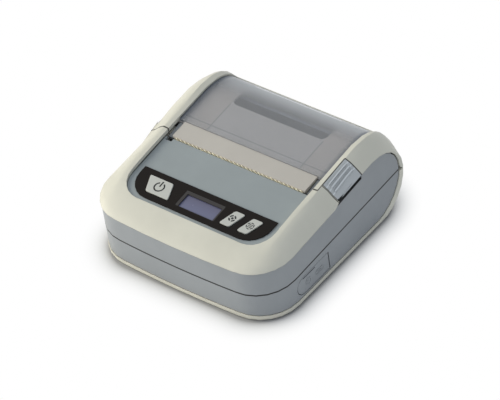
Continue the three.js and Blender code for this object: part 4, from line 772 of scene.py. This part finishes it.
def soften(piece, width):
    """Rounds a simple piece's edges with real geometry."""
    flat = piece.modifiers.new("flat_faces", "DECIMATE")
    flat.decimate_type, flat.angle_limit = "DISSOLVE", math.radians(FLAT_DEGREES)
    bevel = piece.modifiers.new("rounded", "BEVEL")
    bevel.width, bevel.segments = width * MM, 3
    bevel.angle_limit, bevel.harden_normals = math.radians(ROUND_OVER_DEGREES), True


for name, node in frame["nodes"].items():
    node.data.materials.clear()
    node.data.materials.append(finishes[own_finish.get(name, slot_of[name])])
    node.modifiers.new("shading", "NODES").node_group = shading
    if name in rounding:
        soften(node, rounding[name])
print("nodes dressed:", len(frame["nodes"]), "of which rounded:", len(rounding))

# %% [markdown]
# ## Adding a piece
#
# Every new piece is a mesh with one finish that rides on one of the frame's bodies, so one function
# does all of that. The others clean a mesh up, join closed meshes, and turn a curve into a mesh.

# %% Piece helpers


def collect(name, mesh, finish, body, matrix=None):
    """Makes an object of a mesh, gives it its finish, and lets it ride on a body."""
    mesh.name = name
    mesh.materials.clear()
    mesh.materials.append(finishes[finish])
    if matrix is not None:
        mesh.transform(matrix)
    made = bpy.data.objects.new(name, mesh)
    bpy.context.scene.collection.objects.link(made)
    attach(made, body)
    return made


def welded(mesh, sharp_degrees=SHARP_DEGREES):
    """Joins doubled corners, points the faces outwards, and shades by angle."""
    work = bmesh.new()
    work.from_mesh(mesh)
    bmesh.ops.remove_doubles(work, verts=work.verts, dist=WELD_REACH / 2 * MM)
    bmesh.ops.recalc_face_normals(work, faces=work.faces)
    work.to_mesh(mesh)
    work.free()
    mesh.shade_smooth()
    mesh.set_sharp_from_angle(angle=math.radians(sharp_degrees))
    return mesh


def joined(meshes):
    """Several closed meshes as one."""
    work = bmesh.new()
    for mesh in meshes:
        work.from_mesh(mesh)
        bpy.data.meshes.remove(mesh)
    made = bpy.data.meshes.new("joined")
    work.to_mesh(made)
    work.free()
    return made


def mesh_of(curve):
    """Turns a curve into a mesh, and removes the curve."""
    holder = bpy.data.objects.new("outline", curve)
    bpy.context.scene.collection.objects.link(holder)
    shaped = holder.evaluated_get(bpy.context.evaluated_depsgraph_get())
    mesh = bpy.data.meshes.new_from_object(shaped)
    bpy.data.objects.remove(holder)
    bpy.data.curves.remove(curve)
    return mesh


# %% [markdown]
# ## Flat shapes from curves
#
# Signs, shelves and rims are flat shapes, some with holes. A filled 2D curve does just that:
# outlines inside others become holes, and an extrusion gives thickness. The curve is then turned
# into a mesh and welded, so that the piece is one closed body.

# %% Curve helpers


def sheet_of(outlines, low, high):
    """A flat closed mesh from outlines in millimetres; inner outlines are holes."""
    curve = bpy.data.curves.new("outline", "CURVE")
    curve.dimensions, curve.fill_mode = "2D", "BOTH"
    curve.extrude = (high - low) / 2 * MM
    for outline in outlines:
        spline = curve.splines.new("POLY")
        spline.points.add(len(outline) - 1)
        for point, (a, b) in zip(spline.points, outline):
            point.co = (a * MM, b * MM, 0, 1)
        spline.use_cyclic_u = True
    mesh = mesh_of(curve)
    mesh.transform(Matrix.Translation((0, 0, (low + high) / 2 * MM)))
    return welded(mesh)


def ring(radius, steps=40, centre=(0, 0), start=0.0, end=360.0):
    """Points on a circle or on part of one, angles in degrees."""
    closed = end - start >= 360
    count = steps if closed else steps + 1
    angles = [math.radians(start + (end - start) * i / steps) for i in range(count)]
    return [(centre[0] + radius * math.cos(a), centre[1] + radius * math.sin(a)) for a in angles]


def arc_band(inner, outer, start, end, steps=32):
    """A part of a ring, as one outline."""
    return ring(outer, steps, start=start, end=end) + ring(inner, steps, start=start, end=end)[::-1]


def rectangle(left, right, front, rear):
    """A rectangle's four corners, as one outline."""
    return [(left, front), (right, front), (right, rear), (left, rear)]


def bar(y, width, length):
    """A rectangle about a point on the sheet's middle line."""
    return rectangle(-width / 2, width / 2, y - length / 2, y + length / 2)


def rounded_box(width, length, radius):
    """A rectangle with round corners about the sheet's middle."""
    across, along = width / 2 - radius, length / 2 - radius
    points = []
    for turn, (right, up) in enumerate(((1, 1), (-1, 1), (-1, -1), (1, -1))):
        points += ring(radius, 6, (right * across, up * along), turn * 90, turn * 90 + 90)
    return points


print("points on a full ring:", len(ring(1)))

# %% [markdown]
# ## Signs on the keys
#
# The power key has the usual broken ring and bar, the next a dot in a ring of four thick arcs, and
# the feed key a dashed ring round three lines. They are plain international signs. Printed ink has
# almost no height, so each sign is a very thin sheet that rides on its own key.

# %% Key signs
FILM_TOP, KEY_RISE = 0.6, 0.5
KEY_TOP = FILM_TOP + KEY_RISE
INK = 0.03
finishes["sign_ink"] = film("sign_ink", tone(46, 46, 48))
signs = {
    "power": {
        "place": (-26.9, 25.9), "body": "power_key",
        "outlines": [arc_band(2.35, 3.15, 118, 422), bar(2.0, 0.8, 3.6)],
    },
    "settings": {
        "place": (20.3, 26.0), "body": "settings_key",
        "outlines": [ring(0.7)] + [
            arc_band(1.3, 2.1, a + 12, a + 78, steps=12) for a in range(0, 360, 90)],
    },
    "feed": {
        "place": (31.6, 26.0), "body": "feed_key",
        "outlines": [arc_band(1.75, 2.25, a, a + 46, steps=8) for a in range(0, 360, 60)] + [
            bar(y, 2.4, 0.38) for y in (-0.85, 0, 0.85)],
    },
}
for name, sign in signs.items():
    marks = joined([sheet_of([outline], 0, INK) for outline in sign["outlines"]])
    collect(f"{name}_sign", marks, "sign_ink", sign["body"],
            deck_matrix(*sign["place"], KEY_TOP))
print("signs:", list(signs))

# %% [markdown]
# ## Round pieces from a profile
#
# The roller, the screws and the feet are turned shapes. A profile is a list of distances along
# the axis and radii; spinning it gives a closed mesh. Blender's Screw modifier could do this, but
# rings built in code keep the ends closed.

# %% Turned pieces


def turned_mesh(profile, centre, axis, sides=48):
    """Spins (along, radius) points in millimetres about an axis through a point."""
    axis = Vector(axis).normalized()
    side = axis.orthogonal().normalized()
    other = axis.cross(side)
    work = bmesh.new()
    rings = []
    for along, radius in profile:
        spot = centre + axis * along * MM
        if radius == 0:
            rings.append([work.verts.new(spot)])
            continue
        angles = (2 * math.pi * i / sides for i in range(sides))
        outwards = [(side * math.cos(t) + other * math.sin(t)) * radius * MM for t in angles]
        rings.append([work.verts.new(spot + step) for step in outwards])
    for first, second in zip(rings, rings[1:] + rings[:1]):
        if len(first) == 1 and len(second) == 1:
            continue
        for i in range(sides):
            j = (i + 1) % sides
            corners = [first[i % len(first)], first[j % len(first)],
                       second[j % len(second)], second[i % len(second)]]
            work.faces.new(list(dict.fromkeys(corners)))
    mesh = bpy.data.meshes.new("turned")
    work.to_mesh(mesh)
    work.free()
    return welded(mesh)


def underside(low, high):
    """The middle of a box's lowest face."""
    return Vector(((low.x + high.x) / 2, (low.y + high.y) / 2, low.z))


ROLLER_CENTRE = from_front(0, 62.6, 36.2)
ROLLER = [(-40.5, 2.1), (-40.5, 4.9), (-40.2, 5.2), (40.2, 5.2), (40.5, 4.9), (40.5, 2.1)]
roller_mesh = turned_mesh(ROLLER, ROLLER_CENTRE, (1, 0, 0), sides=72)
roller = collect("platen_rubber", roller_mesh, "roller_rubber", "platen")
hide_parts("platen_roller")
print("roller faces:", len(roller.data.polygons))

# %% [markdown]
# ## Feet
#
# A moulded foot is no plain disc: a shallow groove runs round its face, and its rim is rounded.
# Both are in its profile, as heights above the table and distances in from the foot's edge.

# %% Feet
FOOT_FACE = [(0, 1.5), (0.25, 1.2), (0.25, 0.9), (0, 0.7), (0, 0.35), (0.12, 0.12), (0.4, 0)]
for index in range(1, 5):
    low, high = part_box(f"rubber_foot_{index}")
    radius, top = (high.x - low.x) / 2 / MM, high.z / MM
    profile = [(0, 0)] + [(height, radius - inset) for height, inset in FOOT_FACE]
    profile += [(top, radius), (top, 0)]
    foot = collect(f"ringed_foot_{index}", turned_mesh(profile, underside(low, high), (0, 0, 1)),
                   "foot_rubber", "body")
    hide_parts(f"rubber_foot_{index}")
print("foot radius in mm:", round(radius, 2))

# %% [markdown]
# ## Screws
#
# Four screws close the case from below. The cross recess is a hole in a thin flat disc, closed by
# the turned head and shank behind it. A Boolean cut could do it too, but may leave stray faces.

# %% Cross screws
SCREW_HEAD, SCREW_SHANK = 2.4, 1.2
HEAD_THICKNESS, RECESS_DEPTH = 1.2, 0.7
SCREW_SIDES = 32
CROSS = [(0.3, 1.5), (0.3, 0.3), (1.5, 0.3)]
quarter_turns = [Matrix.Rotation(math.radians(-a), 2) for a in (0, 90, 180, 270)]
cross_outline = [tuple(turn @ Vector(point)) for turn in quarter_turns for point in CROSS]
for index in range(1, 5):
    low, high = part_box(f"base_screw_{index}")
    middle = underside(low, high)
    face = sheet_of([ring(SCREW_HEAD, SCREW_SIDES), cross_outline], 0, RECESS_DEPTH)
    face.transform(Matrix.Translation(middle))
    length = (high.z - low.z) / MM
    profile = [(RECESS_DEPTH, 0), (RECESS_DEPTH, SCREW_HEAD), (HEAD_THICKNESS, SCREW_HEAD),
               (HEAD_THICKNESS, SCREW_SHANK), (length, SCREW_SHANK), (length, 0)]
    shank = turned_mesh(profile, middle, (0, 0, 1), SCREW_SIDES)
    screw = collect(f"cross_screw_{index}", joined([face, shank]), "frame_steel", "body")
    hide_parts(f"base_screw_{index}")
print("screw length in mm:", round(length, 2))

# %% [markdown]
# ## Marks on the port cover and shelves beside the bar
#
# The flap over the sockets has small raised marks: a ring and a dot for the power plug, and a
# rounded box with a tongue for the data plug. They are flat sheets stood up on the right wall. Two
# small shelves, drawn from the side, close the slots between the bar's ends and the cover's arms.
# The left one is mirrored, which turns its faces inside out, so they are flipped back.

# %% Marks and shelves
MARK_HEIGHT, MARK_RAISE = 10.1, 0.15
JACK_BACK, SOCKET_BACK = 32.5, 42
SHELF = [(58, 40.6), (68, 42.6), (68, 43.4), (58, 41.6)]
SHELF_INNER, SHELF_OUTER = 42.95, 46.4


def on_side(x, y, z):
    """From a flat sheet to the right wall: sheet x runs back, sheet y runs up."""
    stood_up = Matrix(((0, 0, 1), (1, 0, 0), (0, 1, 0))).to_4x4()
    return Matrix.Translation(from_front(x, y, z)) @ stood_up


port_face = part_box("port_cover")[1].x / MM
port_marks = {
    "jack_mark": (JACK_BACK, [ring(2.2), ring(1.6)]),
    "jack_dot": (JACK_BACK, [ring(0.6)]),
    "socket_mark": (SOCKET_BACK, [rounded_box(6.4, 3, 1), rounded_box(5.4, 2, 0.6)]),
    "socket_tongue": (SOCKET_BACK, [rounded_box(3.4, 0.5, 0.2)]),
}
for name, (back, outlines) in port_marks.items():
    collect(name, sheet_of(outlines, 0, MARK_RAISE), "grey_shell", "port_flap",
            on_side(port_face, back, MARK_HEIGHT))

for hand in ("left", "right"):
    shelf = sheet_of([SHELF], SHELF_INNER, SHELF_OUTER)
    shelf.transform(on_side(0, 0, 0))
    if hand == "left":
        shelf.transform(Matrix.Scale(-1, 4, (1, 0, 0)))
        shelf.flip_normals()
    collect(f"bar_shelf_{hand}", shelf, "grey_shell", "cover")
print("marks:", list(port_marks), "and shelves: 2")

# %% [markdown]
# ## The display's rim and its painted shadow
#
# A dark rim holds the display's glass in the film's hole. It is wide at the left and rear, where
# its darkness is a painted shadow of the hole's wall. It is one flat sheet with the screen's hole
# in it, from a hair above the glass to just under the film's top.

# %% Display rim
DISPLAY_HOLE = (-12.65, 12.25, 20.35, 31.15)
# The screen's hole lies to the right and front in the rim, so the dark band is widest at the left
# and rear, a painted shadow.
SCREEN_HOLE = (-10.9, 11.4, 20.5, 29.2)
GLASS_TOP = -0.3
ABOVE_GLASS, UNDER_FILM = 0.02, 0.1
finishes["display_rim_and_shadow"] = film("display_rim_and_shadow", tone(62, 60, 60), 0.2)
rim_outlines = [rectangle(*DISPLAY_HOLE), rectangle(*SCREEN_HOLE)]
rim_mesh = sheet_of(rim_outlines, GLASS_TOP + ABOVE_GLASS, FILM_TOP - UNDER_FILM)
rim = collect("display_rim_and_shadow", rim_mesh, "display_rim_and_shadow", "body", deck_matrix())
print("rim faces:", len(rim.data.polygons))

# %% [markdown]
# ## Black sheets as painted shadow in the gaps
#
# A thin black sheet lies in the case's seam, between the arms, and round the latch, as a painted
# shadow in the gap. Its outline must follow the shells exactly. Instead of drawing it again, the
# shell's own mesh is cut by a plane right beside the gap, and the outline found there is given the
# gap's thickness.

# %% Outlines cut from a shell


def section(name, point, normal):
    """The closed outlines where a plane cuts a ready-made piece."""
    node = frame["nodes"][name]
    work = bmesh.new()
    work.from_mesh(node.data)
    work.transform(node.matrix_world)
    bmesh.ops.remove_doubles(work, verts=work.verts, dist=WELD_REACH * MM)
    everything = work.verts[:] + work.edges[:] + work.faces[:]
    cut = bmesh.ops.bisect_plane(work, geom=everything, plane_co=point, plane_no=normal, dist=0)
    work.verts.index_update()
    beside = {}
    for edge in cut["geom_cut"]:
        if isinstance(edge, bmesh.types.BMEdge):
            one, two = (v.index for v in edge.verts)
            beside.setdefault(one, []).append(two)
            beside.setdefault(two, []).append(one)
    work.verts.ensure_lookup_table()
    loops = []
    while beside:
        here = min(beside)
        loop = []
        while here is not None:
            loop.append(work.verts[here].co.copy())
            steps = beside.pop(here)
            here = next((step for step in steps if step in beside), None)
        loops.append(loop)
    work.free()
    return loops


def slab(outline, shift):
    """A closed mesh between an outline and the same one moved along."""
    work = bmesh.new()
    first = [work.verts.new(p) for p in outline]
    second = [work.verts.new(p + shift) for p in outline]
    work.faces.new(first)
    work.faces.new(second[::-1])
    for i in range(len(outline)):
        work.faces.new((first[i - 1], first[i], second[i], second[i - 1]))
    made = bpy.data.meshes.new("slab")
    work.to_mesh(made)
    work.free()
    return welded(made, sharp_degrees=20)


latch_middle = section("latch_button", from_front(0, 73, 0), Vector((0, 1, 0)))[0]
print("points round the latch's middle:", len(latch_middle))

# %% [markdown]
# ## Shadow sheets of the arms and the latch
#
# Each of these gaps lies between a piece's flat face and its neighbour. The piece is cut a hair
# inside that face, and the black sheet, a painted shadow, fills the gap but for a hair at either
# side, so that nothing rubs when the latch or the cover moves.

# %% Arm and latch seals
SHADOW_SHEET_EASE = 0.02
BACKWARDS, ACROSS = 1, 0
ARM_GAP = (59.15, 58.85)
LATCH_GAPS = [(BACKWARDS, 63.3, 63), (BACKWARDS, 82.5, 82.8), (ACROSS, 49.95, 49.65)]


def gap_shadow_sheets(name, axis, face, far_side):
    """A black sheet of painted shadow that fills a gap from a piece's flat face to far_side, both
    as on the drawing.
    """
    normal = Vector([1.0 if i == axis else 0.0 for i in range(3)])
    away = 1 if face > far_side else -1
    plane = from_front(0, 0, 0) + normal * (face + away * SHADOW_SHEET_EASE) * MM
    shift = normal * (far_side - face + 2 * away * SHADOW_SHEET_EASE) * MM
    inset = normal * 2 * away * SHADOW_SHEET_EASE * MM
    return [slab([p - inset for p in loop], shift) for loop in section(name, plane, normal)]


# Black sheets in the gaps of the arms and round the latch: painted shadow.
arm_shadow_sheets = gap_shadow_sheets("cover_frame", BACKWARDS, *ARM_GAP)
collect("arm_gap_shadow", joined(arm_shadow_sheets), "gap_shadow_black", "cover")
latch_shadow_sheets = [shadow_sheet for gap in LATCH_GAPS for shadow_sheet in gap_shadow_sheets("latch_button", *gap)]
collect("latch_gap_shadow", joined(latch_shadow_sheets), "gap_shadow_black", "latch")
# The seals counted here are these black sheets of painted shadow.
print("seals at the arms:", len(arm_shadow_sheets), "and round the latch:", len(latch_shadow_sheets))

# %% [markdown]
# ## The painted shadow in the seam
#
# The case's seam runs right round, so its black sheet, a painted shadow, is a closed band. The
# outline of the upper housing is moved inwards twice, for the band's outer and inner side, and down
# to its lower edge. Four such rings, joined all round, make the band.

# %% Seam seal
SHADOW_SHEET_WIDTH, SHADOW_SHEET_SINK = 0.5, 0.05
seam_up = Vector((0, -SEAM["rise"], 1)).normalized()
over_gap = from_front(0, 0, SEAM["height"] + SEAM["gap"] / 2 + SHADOW_SHEET_EASE)
loops = section("upper_housing", over_gap, seam_up)
outer = max(loops, key=lambda loop: max(p.x for p in loop))
upper, lower = 2 * SHADOW_SHEET_EASE, SEAM["gap"] - 2 * SHADOW_SHEET_EASE
shallow, deep = SHADOW_SHEET_SINK, SHADOW_SHEET_SINK + SHADOW_SHEET_WIDTH
work = bmesh.new()
rings = []
for depth, down in ((shallow, upper), (deep, upper), (deep, lower), (shallow, lower)):
    row = []
    for before, here, after in zip(outer[-1:] + outer[:-1], outer, outer[1:] + outer[:1]):
        inwards = (after - before).cross(seam_up).normalized()
        if inwards.dot(here) > 0:
            inwards = -inwards
        row.append(work.verts.new(here + inwards * depth * MM - seam_up * down * MM))
    rings.append(row)
for first, second in zip(rings, rings[1:] + rings[:1]):
    for i in range(len(outer)):
        work.faces.new((first[i - 1], first[i], second[i], second[i - 1]))
seam_shadow_mesh = bpy.data.meshes.new("seam_gap_shadow")
work.to_mesh(seam_shadow_mesh)
work.free()
# The black band in the seam is a painted shadow.
collect("seam_gap_shadow", welded(seam_shadow_mesh), "gap_shadow_black", "body")
print("points round the seam:", len(outer))

# %% [markdown]
# ## Coil springs
#
# The workshop's springs are coarse so that the frame stays light. Here each is a curve wound in a
# helix with a round bevel, which gives a smooth wire of the true thickness.

# %% Springs
WIRE_RADIUS = 0.3
STEPS_A_TURN = 24


def coil(name, start, direction, length, radius, turns):
    """A spring in millimetres, wound from a point, that stays with the case."""
    direction = Vector(direction)
    side = direction.orthogonal().normalized()
    other = direction.cross(side)
    curve = bpy.data.curves.new(name, "CURVE")
    curve.dimensions, curve.bevel_depth, curve.bevel_resolution = "3D", WIRE_RADIUS * MM, 3
    curve.use_fill_caps = True
    count = turns * STEPS_A_TURN
    spline = curve.splines.new("POLY")
    spline.points.add(count)
    for i, point in enumerate(spline.points):
        share = i / count
        angle = 2 * math.pi * turns * share
        along = WIRE_RADIUS + (length - 2 * WIRE_RADIUS) * share
        spot = Vector(start) + direction * along * MM
        spot += (side * math.cos(angle) + other * math.sin(angle)) * radius * MM
        point.co = (*spot, 1)
    wound = welded(mesh_of(curve), sharp_degrees=60)
    return collect(name, wound, "bright_steel", "body")


for side in ("left", "right"):
    low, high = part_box(f"head_spring_{side}")
    start = Vector(((low.x + high.x) / 2, low.y, (low.z + high.z) / 2))
    piece = coil(f"head_coil_{side}", start, (0, 1, 0), (high.y - low.y) / MM, radius=2.2, turns=4)
    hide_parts(f"head_spring_{side}")
low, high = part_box("latch_spring")
start = underside(low, high)
latch_coil = coil("latch_coil", start, (0, 0, 1), (high.z - low.z) / MM, radius=1.9, turns=5)
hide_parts("latch_spring")
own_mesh(latch_coil)
print("springs wound from wire of", 2 * WIRE_RADIUS, "mm")
